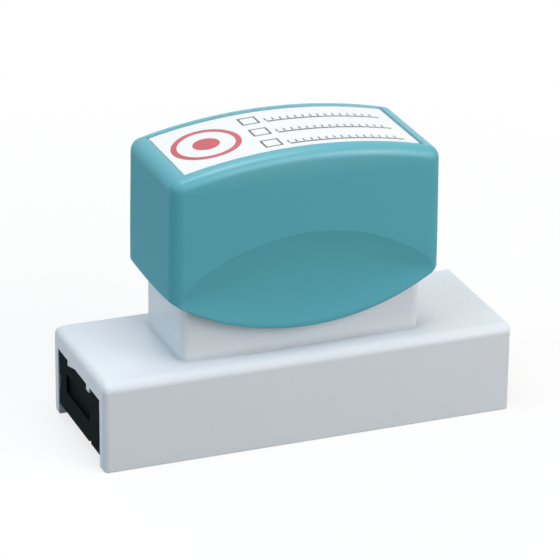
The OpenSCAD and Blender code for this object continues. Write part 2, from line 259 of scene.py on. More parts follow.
def bake(obj: Piece) -> None:
    """Turns an object's modifiers into its plain mesh."""
    bpy.context.view_layer.update()
    depsgraph = bpy.context.evaluated_depsgraph_get()
    mesh = bpy.data.meshes.new_from_object(obj.evaluated_get(depsgraph), depsgraph=depsgraph)
    obj.modifiers.clear()
    obj.data = mesh


def modify(obj: Piece, kind: str, **settings: object) -> None:
    """Changes an object's mesh with a modifier.

    Args:
        obj: The object.
        kind: Blender's name of the modifier type.
        settings: Attributes of the modifier.
    """
    modifier = obj.modifiers.new(kind.lower(), kind)
    for key, value in settings.items():
        setattr(modifier, key, value)
    bake(obj)


def combine(obj: Piece, tool: Piece, join: Join) -> None:
    """Adds a tool to a solid or cuts it away, and removes the tool.

    Args:
        obj: The solid that is changed.
        tool: The solid that is added or cut away.
        join: Which of the two.
    """
    modify(obj, "BOOLEAN", object=tool, operation=join.value, solver="EXACT")
    bpy.data.objects.remove(tool)


def shade(obj: Piece, sharp_deg: float = SHARP_DEG) -> None:
    """Smooths a mesh, with edges over an angle kept sharp and flat faces kept flat.

    Args:
        obj: Object with the mesh.
        sharp_deg: Least angle of a sharp edge, in degrees.
    """
    obj.data.shade_smooth()
    obj.data.set_sharp_from_angle(angle=math.radians(sharp_deg))
    modify(obj, "WEIGHTED_NORMAL", keep_sharp=True)


def edge_matches(edge: bmesh.types.BMEdge, **places: float) -> bool:
    """Tells whether both ends of an edge lie at the given places.

    Args:
        edge: The edge.
        places: Place along x, y or z that both ends have, of either sign on y.

    Returns:
        True if they all match.
    """
    ends = [[v.co.x, abs(v.co.y), v.co.z] for v in edge.verts]
    return all(abs(end["xyz".index(k)] - value) < SAME for k, value in places.items() for end in ends)


def bevel_by_weight(obj: Piece, rules: Sequence[tuple[float, dict[str, float]]]) -> None:
    """Rounds the edges that lie at named places, each place with its own radius.

    Args:
        obj: Object with the mesh.
        rules: Radius and place of each group of edges; the first match of an edge holds.
    """
    widest = max(radius for radius, _ in rules)

    def weigh(drawing: Drawing) -> None:
        """Sets each edge's share of the widest rounding.

        Args:
            drawing: The mesh.
        """
        weight = drawing.edges.layers.float.new("bevel_weight_edge")
        for edge in drawing.edges:
            for radius, places in rules:
                if edge_matches(edge, **places):
                    edge[weight] = radius / widest
                    break

    redraw(obj.data, weigh)
    limit = {"limit_method": "WEIGHT", "use_clamp_overlap": False}
    modify(obj, "BEVEL", width=widest, segments=ROUND_STEPS, **limit)


def settle(obj: Piece, finish: Finish, body: Body, node: str = "") -> None:
    """Scales a finished piece to metres, dresses it and lets it ride on its body.

    Args:
        obj: The piece, in millimetres.
        finish: Its finish.
        body: The body that it moves with.
        node: The frame's node that it stands for, if any.
    """
    obj.data.transform(Matrix.Scale(MM, 4))
    obj.data.update()
    obj.data.materials.clear()
    obj.data.materials.append(finish.material())
    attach(obj, body.value)
    if node:
        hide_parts(node)
    LOG.info("%s: %d faces, rides on %s", obj.name, len(obj.data.polygons), body.value)


# Node helpers


def add_node(tree: Tree, kind: str, inputs: dict | None = None, **settings: object) -> Node:
    """Adds a node to a tree and fills in its inputs.

    Args:
        tree: Shader or geometry tree.
        kind: Blender's name of the node type.
        inputs: Value of an input, or the socket that feeds it, by name or number.
        settings: Attributes of the node.

    Returns:
        The node.
    """
    node = tree.nodes.new(kind)
    for key, value in settings.items():
        setattr(node, key, value)
    for key, value in (inputs or {}).items():
        if isinstance(value, Socket):
            tree.links.new(value, node.inputs[key])
        else:
            node.inputs[key].default_value = value
    return node


def calc(tree: Tree, operation: str, *terms: object) -> Socket:
    """Adds a sum of one to three terms to a tree and returns its result."""
    return add_node(tree, "ShaderNodeMath", dict(enumerate(terms)), operation=operation).outputs[0]


def remap(tree: Tree, value: Socket, given: Point2, wanted: Point2 = UNIT, **settings: object) -> Socket:
    """Maps a range of a value onto another range, and holds it at both ends.

    Args:
        tree: Shader tree.
        value: The value.
        given: Its range.
        wanted: The range that it is mapped onto.
        settings: Attributes of the node.

    Returns:
        The mapped value.
    """
    names = ("Value", "From Min", "From Max", "To Min", "To Max")
    inputs = dict(zip(names, (value, *given, *wanted)))
    return add_node(tree, "ShaderNodeMapRange", inputs, **settings).outputs["Result"]


def place_in(tree: Tree) -> Socket:
    """Returns the Object coordinates in a shader tree."""
    return add_node(tree, "ShaderNodeTexCoord").outputs["Object"]


def noise(tree: Tree, scale: Socket, detail: float, distortion: float = 0.0) -> Socket:
    """Adds a noise that lies still on the object.

    Args:
        tree: Shader tree.
        scale: Its fineness, per metre.
        detail: Number of finer noises in it.
        distortion: How far it is drawn out of shape.

    Returns:
        The noise.
    """
    inputs = {"Vector": place_in(tree), "Scale": scale, "Detail": detail, "Distortion": distortion}
    return add_node(tree, "ShaderNodeTexNoise", inputs).outputs["Fac"]


def dim(colour: Colour, share: float) -> Colour:
    """Returns a colour with each channel multiplied by a share."""
    return tuple(channel * share for channel in colour)


def blend(tree: Tree, share: Socket, low: object, high: object) -> Socket:
    """Mixes two colours.

    Args:
        tree: Shader tree.
        share: Share of the second colour.
        low: First colour, or the socket that gives it.
        high: Second colour, or its socket.

    Returns:
        The mixed colour.
    """
    # The sockets for colours go by number, because those for other values have the same names
    first, second, result = 6, 7, 2
    inputs = {0: share}
    for number, colour in ((first, low), (second, high)):
        inputs[number] = colour if isinstance(colour, Socket) else (*colour, 1.0)
    return add_node(tree, "ShaderNodeMix", inputs, data_type="RGBA").outputs[result]


def start_material(name: str) -> tuple[bpy.types.Material, Tree]:
    """Makes an empty material.

    Args:
        name: Name of the material.

    Returns:
        The material and its tree.
    """
    material = bpy.data.materials.new(name)
    material.use_nodes = True
    material.node_tree.nodes.clear()
    return material, material.node_tree


# Shared effects and finishes


class SurfaceEffects:
    """Shader groups that several finishes share, each built once.

    Attributes:
        MOULDED: Name of the group for a moulding's skin.
        FIBRES: Name of the group for a mat of fibres.
        SPECK_EDGE: Inner and outer edge of a speck, as shares of a cell.
        SPECK_FREE: Share of the cells that hold no speck.
    """

    MOULDED = "moulded_surface"
    FIBRES = "pressed_fibres"
    SPECK_EDGE = (0.03, 0.06)
    SPECK_FREE = 0.88

    @staticmethod
    def start(name: str, inputs: dict[str, float], outputs: Sequence[str]) -> Tree:
        """Makes an empty shader group with named values.

        Args:
            name: Name of the group.
            inputs: Default of each input.
            outputs: Names of the outputs.

        Returns:
            The group.
        """
        tree = bpy.data.node_groups.new(name, "ShaderNodeTree")
        for key, value in inputs.items():
            socket = tree.interface.new_socket(key, in_out="INPUT", socket_type="NodeSocketFloat")
            socket.default_value = value
        for key in outputs:
            tree.interface.new_socket(key, in_out="OUTPUT", socket_type="NodeSocketFloat")
        return tree

    @classmethod
    def moulded(cls) -> Tree:
        """Makes the skin of a moulding: fine grain, cloudy mottle and sparse specks of dust.

        Returns:
            The group, whose outputs are a height and two masks.
        """
        if cls.MOULDED in bpy.data.node_groups:
            return bpy.data.node_groups[cls.MOULDED]
        sizes = {"Grain Scale": 4000.0, "Mottle Scale": 90.0, "Speck Scale": 260.0}
        tree = cls.start(cls.MOULDED, sizes, ("Grain", "Mottle", "Specks"))
        scale = add_node(tree, "NodeGroupInput").outputs
        inputs = {"Vector": place_in(tree), "Scale": scale["Speck Scale"]}
        cells = add_node(tree, "ShaderNodeTexVoronoi", inputs).outputs
        dots = remap(tree, cells["Distance"], cls.SPECK_EDGE, (1.0, 0.0))
        drawn = add_node(tree, "ShaderNodeSeparateColor", {"Color": cells["Color"]}).outputs["Red"]
        specks = calc(tree, "MULTIPLY", dots, calc(tree, "GREATER_THAN", drawn, cls.SPECK_FREE))
        grain = noise(tree, scale["Grain Scale"], detail=3.0)
        mottle = noise(tree, scale["Mottle Scale"], detail=5.0)
        add_node(tree, "NodeGroupOutput", {"Grain": grain, "Mottle": mottle, "Specks": specks})
        return tree

    @classmethod
    def fibres(cls) -> Tree:
        """Makes a mat of fibres, as of felt or paper.

        Returns:
            The group, whose outputs are a height and a mask.
        """
        if cls.FIBRES in bpy.data.node_groups:
            return bpy.data.node_groups[cls.FIBRES]
        sizes = {"Fibre Scale": 900.0, "Cloud Scale": 150.0}
        tree = cls.start(cls.FIBRES, sizes, ("Height", "Cloud"))
        scale = add_node(tree, "NodeGroupInput").outputs
        strands = noise(tree, scale["Fibre Scale"], detail=6.0, distortion=2.5)
        cloud = noise(tree, scale["Cloud Scale"], detail=4.0)
        add_node(tree, "NodeGroupOutput", {"Height": strands, "Cloud": cloud})
        return tree


@dataclass(frozen=True)
class Finish:
    """What all finishes have, with a material that is built once.

    Attributes:
        name: Name of the material.
        colour: Linear colour.
        shade: Share of the colour that is left in its darkest clouds.
        roughness: Mean roughness.
        gloss_spread: How far the roughness wanders from its mean.
        relief: Strength of the surface's bump.
        relief_depth: Depth of that bump.
    """

    made: ClassVar[dict[str, bpy.types.Material]] = {}
    name: str
    colour: Colour = WHITE[:3]
    shade: float = 0.98
    roughness: float = 0.32
    gloss_spread: float = 0.03
    relief: float = 0.06
    relief_depth: float = 0.03

    def material(self) -> bpy.types.Material:
        """Finds the finish's material, which is built when it is first asked for.

        Returns:
            The material.
        """
        if self.name not in Finish.made:
            material, tree = start_material(self.name)
            shader = add_node(tree, "ShaderNodeBsdfPrincipled", self.inputs(tree))
            add_node(tree, "ShaderNodeOutputMaterial", {"Surface": shader.outputs["BSDF"]})
            Finish.made[self.name] = material
        return Finish.made[self.name]

    def inputs(self, tree: Tree) -> dict[str, object]:
        """Adds the finish's nodes to a tree and returns its shader's inputs; each finish has its own."""
        raise NotImplementedError

    def clouds(self, tree: Tree, cloud: Socket) -> Socket:
        """Darkens the colour where a noise is high, and returns it."""
        return blend(tree, remap(tree, cloud, NOISE_RANGE), self.colour, dim(self.colour, self.shade))

    def gloss(self, tree: Tree, cloud: Socket) -> Socket:
        """Lets the roughness wander about its mean with a noise, and returns it."""
        limits = (self.roughness - self.gloss_spread, self.roughness + self.gloss_spread)
        return remap(tree, cloud, NOISE_RANGE, limits)

    def bump(self, tree: Tree, height: Socket) -> Socket:
        """Raises the surface with a noise, and returns its normal."""
        inputs = {"Height": height, "Strength": self.relief, "Distance": self.relief_depth * MM}
        return add_node(tree, "ShaderNodeBump", inputs).outputs[0]


@dataclass(frozen=True)
class MouldedPlastic(Finish):
    """Injection-moulded plastic or rubber, or a film of ink, with a fine grain.

    Attributes:
        dust: Strength of the specks.
        dust_shade: Share of the colour that is left in a speck.
        reflectance: Specular level of the shader.
        painted_top_sheen: Height where a painted sheen, a clear coat standing in for the light on the
            top band, starts, and where it is whole, if at all.
        painted_sheen_roughness: Roughness of the painted sheen's coat.
        painted_corner_shade: How far painted shade darkens the colour in inner corners, and the reach of
            that shade, if it does.
    """

    dust: float = 0.25
    dust_shade: float = 0.35
    reflectance: float = 0.5
    painted_top_sheen: Point2 | None = None
    painted_sheen_roughness: float = 0.3
    painted_corner_shade: Point2 | None = None

    def inputs(self, tree: Tree) -> dict[str, object]:
        """Adds the skin of the moulding, its dust, its painted corner shade and its painted sheen.

        Args:
            tree: The material's tree.

        Returns:
            Inputs of the material's shader.
        """
        skin = add_node(tree, "ShaderNodeGroup", node_tree=SurfaceEffects.moulded()).outputs
        colour = self.clouds(tree, skin["Mottle"])
        dusty = calc(tree, "MULTIPLY", skin["Specks"], self.dust)
        colour = blend(tree, dusty, colour, dim(self.colour, self.dust_shade))
        extra = {"Specular IOR Level": self.reflectance}
        # Painted shade: the colour darkens where ambient occlusion finds an inner corner.
        if self.painted_corner_shade:
            darkening, reach = self.painted_corner_shade
            near = {"Distance": reach * MM}
            corner = add_node(tree, "ShaderNodeAmbientOcclusion", near, only_local=True, samples=16)
            clear = remap(tree, corner.outputs["AO"], CORNER_RANGE)
            colour = blend(tree, clear, dim(self.colour, 1 - darkening), colour)
        # Painted sheen: a clear coat grows with height over the top band, standing in for the light that
        # falls there.
        if self.painted_top_sheen:
            height = add_node(tree, "ShaderNodeSeparateXYZ", {0: place_in(tree)}).outputs["Z"]
            extra["Coat Weight"] = remap(tree, height, tuple(level * MM for level in self.painted_top_sheen))
            extra["Coat Roughness"] = self.painted_sheen_roughness
        gloss, bump = self.gloss(tree, skin["Mottle"]), self.bump(tree, skin["Grain"])
        return extra | {"Base Color": colour, "Roughness": gloss, "Normal": bump}


@dataclass(frozen=True)
class FibreMat(Finish):
    """Felt, paper or card: a matt surface of pressed fibres.

    Attributes:
        fibre_scale: Fineness of the fibres, per metre.
    """

    shade: float = 0.8
    roughness: float = 0.85
    gloss_spread: float = 0.05
    relief: float = 0.3
    relief_depth: float = 0.1
    fibre_scale: float = 2500.0

    def inputs(self, tree: Tree) -> dict[str, object]:
        """Adds the fibres and their clouds.

        Args:
            tree: The material's tree.

        Returns:
            Inputs of the material's shader.
        """
        scales = {"Fibre Scale": self.fibre_scale}
        mat = add_node(tree, "ShaderNodeGroup", scales, node_tree=SurfaceEffects.fibres()).outputs
        gloss, bump = self.gloss(tree, mat["Height"]), self.bump(tree, mat["Height"])
        return {"Base Color": self.clouds(tree, mat["Cloud"]), "Roughness": gloss, "Normal": bump}


@dataclass(frozen=True)
class ClearFilm(Finish):
    """Clear glossy plastic, which reflects more the flatter it is looked along.

    Attributes:
        ior: Refractive index.
        cloud_scale: Fineness of the clouds in the roughness, per metre.
    """

    roughness: float = 0.12
    gloss_spread: float = 0.04
    ior: float = 1.36
    cloud_scale: float = 60.0

    def inputs(self, tree: Tree) -> dict[str, object]:
        """Adds the reflection of the outer faces, and leaves the rest see-through.

        Args:
            tree: The material's tree.

        Returns:
            Inputs of the material's shader.
        """
        scales = {"Mottle Scale": self.cloud_scale}
        skin = add_node(tree, "ShaderNodeGroup", scales, node_tree=SurfaceEffects.moulded()).outputs
        fresnel = add_node(tree, "ShaderNodeFresnel", {"IOR": self.ior}).outputs["Fac"]
        inside = add_node(tree, "ShaderNodeNewGeometry").outputs["Backfacing"]
        film = calc(tree, "MULTIPLY", fresnel, calc(tree, "SUBTRACT", 1.0, inside))
        gloss = self.gloss(tree, skin["Mottle"])
        return {"Base Color": (*self.colour, 1.0), "Metallic": 1.0, "Roughness": gloss, "Alpha": film}


@dataclass(frozen=True)
class DrawnWire(Finish):
    """Steel wire with fine lines drawn round it.

    Attributes:
        line_scale: Fineness of the lines, per metre.
        cloud_scale: Fineness of the clouds, per metre.
    """

    shade: float = 0.75
    roughness: float = 0.2
    gloss_spread: float = 0.06
    relief: float = 0.1
    relief_depth: float = 0.02
    line_scale: float = 3000.0
    cloud_scale: float = 600.0

    def inputs(self, tree: Tree) -> dict[str, object]:
        """Adds the lines and clouds of the metal.

        Args:
            tree: The material's tree.

        Returns:
            Inputs of the material's shader.
        """
        scales = {"Grain Scale": self.line_scale, "Mottle Scale": self.cloud_scale}
        skin = add_node(tree, "ShaderNodeGroup", scales, node_tree=SurfaceEffects.moulded()).outputs
        colour, gloss = self.clouds(tree, skin["Mottle"]), self.gloss(tree, skin["Mottle"])
        bump = self.bump(tree, skin["Grain"])
        return {"Base Color": colour, "Metallic": 1.0, "Roughness": gloss, "Normal": bump}


# The grey is darkened with painted shade in its inner corners.
GREY_PLASTIC = MouldedPlastic(
    "grey_moulding", (0.70, 0.75, 0.79), roughness=0.33, reflectance=0.25, painted_corner_shade=(0.2, 1.3)
)
# The teal's top band carries a painted sheen, a clear coat laid on by height.
TEAL_PLASTIC = MouldedPlastic(
    "teal_moulding", (0.105, 0.40, 0.475), roughness=0.38, reflectance=0.02, painted_top_sheen=(51.0, 54.5)
)
BLACK_PLASTIC = MouldedPlastic(
    "black_moulding", (0.006, 0.011, 0.012), shade=0.7, roughness=0.5, reflectance=0.004
)
DARK_PLASTIC = MouldedPlastic("dark_moulding", (0.06, 0.065, 0.07), shade=0.9, roughness=0.4)
BARRIER_PLASTIC = MouldedPlastic("pale_moulding", (0.6, 0.6, 0.58), roughness=0.5)
RED_RUBBER = MouldedPlastic("red_rubber", (0.32, 0.03, 0.035), shade=0.8, roughness=0.6, relief=0.2)
BLACK_RUBBER = MouldedPlastic(
    "black_rubber", (0.02, 0.022, 0.025), shade=0.8, roughness=0.62, relief=0.2
)
RED_INK = MouldedPlastic("red_ink", (0.58, 0.025, 0.05), shade=0.8, roughness=0.5, dust=0.0)
BLACK_INK = MouldedPlastic("black_ink", (0.015, 0.015, 0.02), shade=0.7, roughness=0.5, dust=0.0)
WHITE_CARD = FibreMat(
    "white_card", (0.84, 0.86, 0.87), shade=0.96, roughness=0.6, relief=0.05, fibre_scale=4000.0
)
RED_FELT = FibreMat("red_inked_felt", (0.3, 0.012, 0.02), shade=0.6)
BLACK_FELT = FibreMat("black_inked_felt", (0.015, 0.015, 0.02), shade=0.6)
CLEAR_FILM = ClearFilm("clear_film")
SPRING_STEEL = DrawnWire("drawn_steel", (0.6, 0.6, 0.58))


# Geometry Nodes trees


class GeometryRule:
    """A Geometry Nodes tree that grows a piece from named sizes.

    Attributes:
        tree: The tree.
        values: Value of each input for this piece, by the input's identifier.
        sizes: Sockets that give the sizes inside the tree, by name.
    """

    def __init__(self, name: str, sizes: dict[str, float | int]) -> None:
        """Starts a tree.

        Args:
            name: Name of the tree.
            sizes: Value of each named input for this piece.
        """
        self.tree = bpy.data.node_groups.new(name, "GeometryNodeTree")
        face = self.tree.interface
        face.new_socket("Geometry", in_out="OUTPUT", socket_type="NodeSocketGeometry")
        self.values: dict[str, float | int] = {}
        for key, value in sizes.items():
            kind = "NodeSocketInt" if isinstance(value, int) else "NodeSocketFloat"
            self.values[face.new_socket(key, in_out="INPUT", socket_type=kind).identifier] = value
        self.sizes = self.tree.nodes.new("NodeGroupInput").outputs

    def part(self, kind: str, inputs: dict | None = None) -> Socket:
        """Adds a node to the tree, as add_node does, and returns its first result."""
        return add_node(self.tree, kind, inputs).outputs[0]

    def calc(self, operation: str, *terms: object) -> Socket:
        """Adds a sum of one to three terms and returns its result."""
        return calc(self.tree, operation, *terms)

    def vector(self, x: object, y: object = 0.0, z: object = 0.0) -> Socket:
        """Joins three values to a vector and returns it."""
        return self.part("ShaderNodeCombineXYZ", {"X": x, "Y": y, "Z": z})

    def rectangle(self, width: Socket, height: Socket) -> Socket:
        """Draws a rectangle about the origin as a closed curve and returns it."""
        return self.part("GeometryNodeCurvePrimitiveQuadrilateral", {"Width": width, "Height": height})

    def circle(self, radius: Socket, steps: int) -> Socket:
        """Draws a circle about the origin and returns it."""
        return self.part("GeometryNodeCurvePrimitiveCircle", {"Resolution": steps, "Radius": radius})

    def sweep(self, path: Socket, section: Socket, capped: bool = False) -> Socket:
        """Draws a section out along a path and returns the solid."""
        inputs = {"Curve": path, "Profile Curve": section, "Fill Caps": capped}
        return self.part("GeometryNodeCurveToMesh", inputs)

    def shift(self, part: Socket, x: Socket, y: object = 0.0) -> Socket:
        """Moves a part in its own plane and returns it."""
        return self.part("GeometryNodeTransform", {"Geometry": part, "Translation": self.vector(x, y)})

    def put(self, part: Socket, position: Socket) -> Socket:
        """Puts each point of a part at its position and returns the part."""
        return self.part("GeometryNodeSetPosition", {"Geometry": part, "Position": position})

    def repeat(self, part: Socket, count: Socket, start: Socket, step: Socket) -> Socket:
        """Sets copies of a part in a row.

        Args:
            part: The part.
            count: Number of copies.
            start: Place of the first one.
            step: Way from one copy to the next.

        Returns:
            The copies.
        """
        inputs = {"Count": count, "Start Location": start, "Offset": step}
        places = self.part("GeometryNodeMeshLine", inputs)
        return self.part("GeometryNodeInstanceOnPoints", {"Points": places, "Instance": part})

    def gather(self, *parts: Socket) -> Socket:
        """Puts parts together, in their order.

        Args:
            parts: The parts.

        Returns:
            All of them.
        """
        node = add_node(self.tree, "GeometryNodeJoinGeometry")
        for part in parts:
            self.tree.links.new(part, node.inputs[0])
        return node.outputs[0]

    def on_crown(self, geometry: Socket) -> Socket:
        """Bends flat geometry, drawn about Z = 0, onto a crown whose axis runs along Y.

        Args:
            geometry: The flat geometry, in a tree with the sizes Crown Axis and Crown Radius.

        Returns:
            The bent geometry.
        """
        place = self.part("GeometryNodeInputPosition")
        x, y, z = add_node(self.tree, "ShaderNodeSeparateXYZ", {0: place}).outputs
        radius = self.sizes["Crown Radius"]
        reach = self.calc("MULTIPLY", radius, radius)
        rise = self.calc("SQRT", self.calc("SUBTRACT", reach, self.calc("MULTIPLY", x, x)))
        level = self.calc("ADD", self.calc("ADD", self.sizes["Crown Axis"], rise), z)
        return self.put(geometry, self.vector(x, y, level))

    def grow(self, name: str, geometry: Socket, finish: Finish) -> Piece:
        """Ends the tree and turns its result into a plain mesh.

        Args:
            name: Name of the piece.
            geometry: What the tree has made.
            finish: Its finish.

        Returns:
            The piece, in millimetres.
        """
        real = self.part("GeometryNodeRealizeInstances", {"Geometry": geometry})
        inputs = {"Geometry": real, "Material": finish.material()}
        add_node(self.tree, "NodeGroupOutput", {0: self.part("GeometryNodeSetMaterial", inputs)})
        obj = object_from(name, lambda drawing: None)
        modifier = obj.modifiers.new("rule", "NODES")
        modifier.node_group = self.tree
        for identifier, value in self.values.items():
            modifier[identifier] = value
        bake(obj)
        return obj


# Sub-assemblies


@dataclass(frozen=True)
class Extent:
    """Box of a frame node.

    Attributes:
        low: Lowest corner.
        high: Highest corner.
    """

    low: Vector
    high: Vector

    @classmethod
    def of(cls, node: str) -> Extent:
        """Reads the box of a node from the frame."""
        low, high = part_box(node)
        return cls(low / MM, high / MM)

    @property
    def size(self) -> Vector:
        """Size of the box."""
        return self.high - self.low


@dataclass
class BaseShell:
    """Skirt and neck, moulded in one piece.

    Attributes:
        wall: Thickness of the long walls.
        top_r: Rounding of the long top edges.
        end_r: Rounding of the short top edge, at the left and at the right end.
        corner_r: Rounding of the upright corners, at the left and at the right end.
        foot_r: Rounding of the walls' lower corners, at the left and at the right end.
        foot_edge_r: Rounding of the walls' lower edges.
        inner_r: Rounding of the inner edges at the ends.
        skirt_h: Height of the skirt.
        plate_t: Thickness of the top plate.
        neck: Length and width of the neck.
        neck_wall: Thickness of the neck's wall.
        neck_r: Rounding of the neck's upright corners.
        neck_foot_r: Rounding where the neck meets the skirt.
        neck_foot_steps: Segments in that rounding.
        post_x: Distance of the post holes from the middle.
        post_hole_r: Radius of the post holes.
        tab_l: Length of the locating tabs.
        tab_depth: Depth of the locating tabs.
        tab_inset: How far the tabs stay back from the ends.
        wedge_tab: Inner and outer side of the wedge tab.
        square_tab: Inner and outer side of the square tab.
        sharp_deg: Least angle of a sharp edge, in degrees.
    """

    wall: float = 2.7
    top_r: float = 1.9
    end_r: Point2 = (1.5, 0.6)
    corner_r: Point2 = (1.2, 0.5)
    foot_r: Point2 = (0.6, 0.3)
    foot_edge_r: float = 0.3
    inner_r: float = 0.15
    skirt_h: float = 17.4
    plate_t: float = 3.9
    neck: Point2 = (46.8, 19.8)
    neck_wall: float = 1.8
    neck_r: float = 1.6
    neck_foot_r: float = 0.12
    neck_foot_steps: int = 3
    post_x: float = 15.65
    post_hole_r: float = 3.8
    tab_l: float = 5.0
    tab_depth: float = 1.0
    tab_inset: float = 0.02
    wedge_tab: Point2 = (2.2, 6.2)
    square_tab: Point2 = (-6.4, -4.6)
    sharp_deg: float = 32.0

    @property
    def ceiling(self) -> float:
        """Height of the lower face of the top plate."""
        return self.skirt_h - self.plate_t

    def build(self) -> None:
        """Builds the skirt with its neck and dresses it."""
        extent = Extent.of("base_shell")
        obj = self.skirt(extent.size.x / 2, extent.size.y / 2)
        self.add_tabs(obj, extent.size.x / 2)
        self.add_neck(obj, extent.high.z)
        shade(obj, self.sharp_deg)
        settle(obj, GREY_PLASTIC, Body.BASE, "base_shell")

    def skirt(self, half_l: float, half_w: float) -> Piece:
        """Draws the channel of the skirt and rounds its edges.

        Args:
            half_l: Half the length of the skirt.
            half_w: Half its width.

        Returns:
            The skirt.
        """
        inner_w = half_w - self.wall
        outline = [
            (-half_w, 0), (-half_w, self.skirt_h), (half_w, self.skirt_h), (half_w, 0),
            (inner_w, 0), (inner_w, self.ceiling), (-inner_w, self.ceiling), (-inner_w, 0),
        ]
        obj = prism("base_shell_skin", outline, Axis.X, -half_l, half_l)
        rules = []
        ends = zip((-half_l, half_l), self.end_r, self.corner_r, self.foot_r)
        for place, end_r, corner_r, foot_r in ends:
            rules += [
                (end_r, {"x": place, "z": self.skirt_h}),
                (foot_r, {"x": place, "z": 0}),
                (corner_r, {"x": place, "y": half_w}),
                (self.inner_r, {"x": place, "y": inner_w}),
                (self.inner_r, {"x": place, "z": self.ceiling}),
            ]
        rules += [
            (self.top_r, {"y": half_w, "z": self.skirt_h}),
            (self.foot_edge_r, {"y": half_w, "z": 0}),
            (self.inner_r, {"y": inner_w, "z": 0}),
        ]
        bevel_by_weight(obj, rules)
        return obj

    def add_tabs(self, obj: Piece, half_l: float) -> None:
        """Hangs the locating tabs under both ends of the top plate.

        Args:
            obj: The skirt.
            half_l: Half its length.
        """
        inner, outer = self.wedge_tab
        root, tip = self.ceiling + PAST, self.ceiling - self.tab_depth
        wedge = [(inner, root), (outer, root), (outer, tip), (inner, self.ceiling)]
        square = box_outline(*self.square_tab, tip, root)
        for side in (-1, 1):
            ends = sorted((side * (half_l - self.tab_inset), side * (half_l - self.tab_l)))
            for outline in (wedge, square):
                combine(obj, prism("tab", outline, Axis.X, *ends), Join.ADD)

    def add_neck(self, obj: Piece, top: float) -> None:
        """Raises the neck, hollows it and drills the post holes.

        Args:
            obj: The skirt.
            top: Height of the neck's upper end.
        """
        outline = round_outline(*self.neck, self.neck_r)
        neck = prism("neck", outline, Axis.Z, self.skirt_h - self.plate_t / 2, top)
        combine(obj, neck, Join.ADD)
        redraw(obj.data, self.round_neck_foot)
        pocket = centred_outline(*(size - 2 * self.neck_wall for size in self.neck))
        combine(obj, prism("pocket", pocket, Axis.Z, self.skirt_h, top + PAST), Join.CUT)
        for side in (-1, 1):
            hole = disc_outline((side * self.post_x, 0), self.post_hole_r)
            drill = prism("drill", hole, Axis.Z, self.ceiling - PAST, self.skirt_h + PAST)
            combine(obj, drill, Join.CUT)

    def round_neck_foot(self, drawing: Drawing) -> None:
        """Fills the corner between the neck and the skirt with a small rounding.

        Args:
            drawing: The mesh of both.
        """
        reach_x, reach_y = (size / 2 + self.neck_foot_r for size in self.neck)
        foot = [
            edge
            for edge in drawing.edges
            if edge_matches(edge, z=self.skirt_h)
            and all(abs(v.co.x) < reach_x and abs(v.co.y) < reach_y for v in edge.verts)
        ]
        bmesh.ops.bevel(
            drawing,
            geom=foot,
            offset=self.neck_foot_r,
            segments=self.neck_foot_steps,
            profile=0.5,
            affect="EDGES",
            clamp_overlap=False,
        )


@dataclass(frozen=True)
class Station:
    """One upright line round the handle.

    Attributes:
        u: Place along the core of the plan, from -1 to 1 between the ends.
        v: The same from front to rear.
        out: Level direction that points out of the handle there.
    """

    u: float
    v: float
    out: Vector


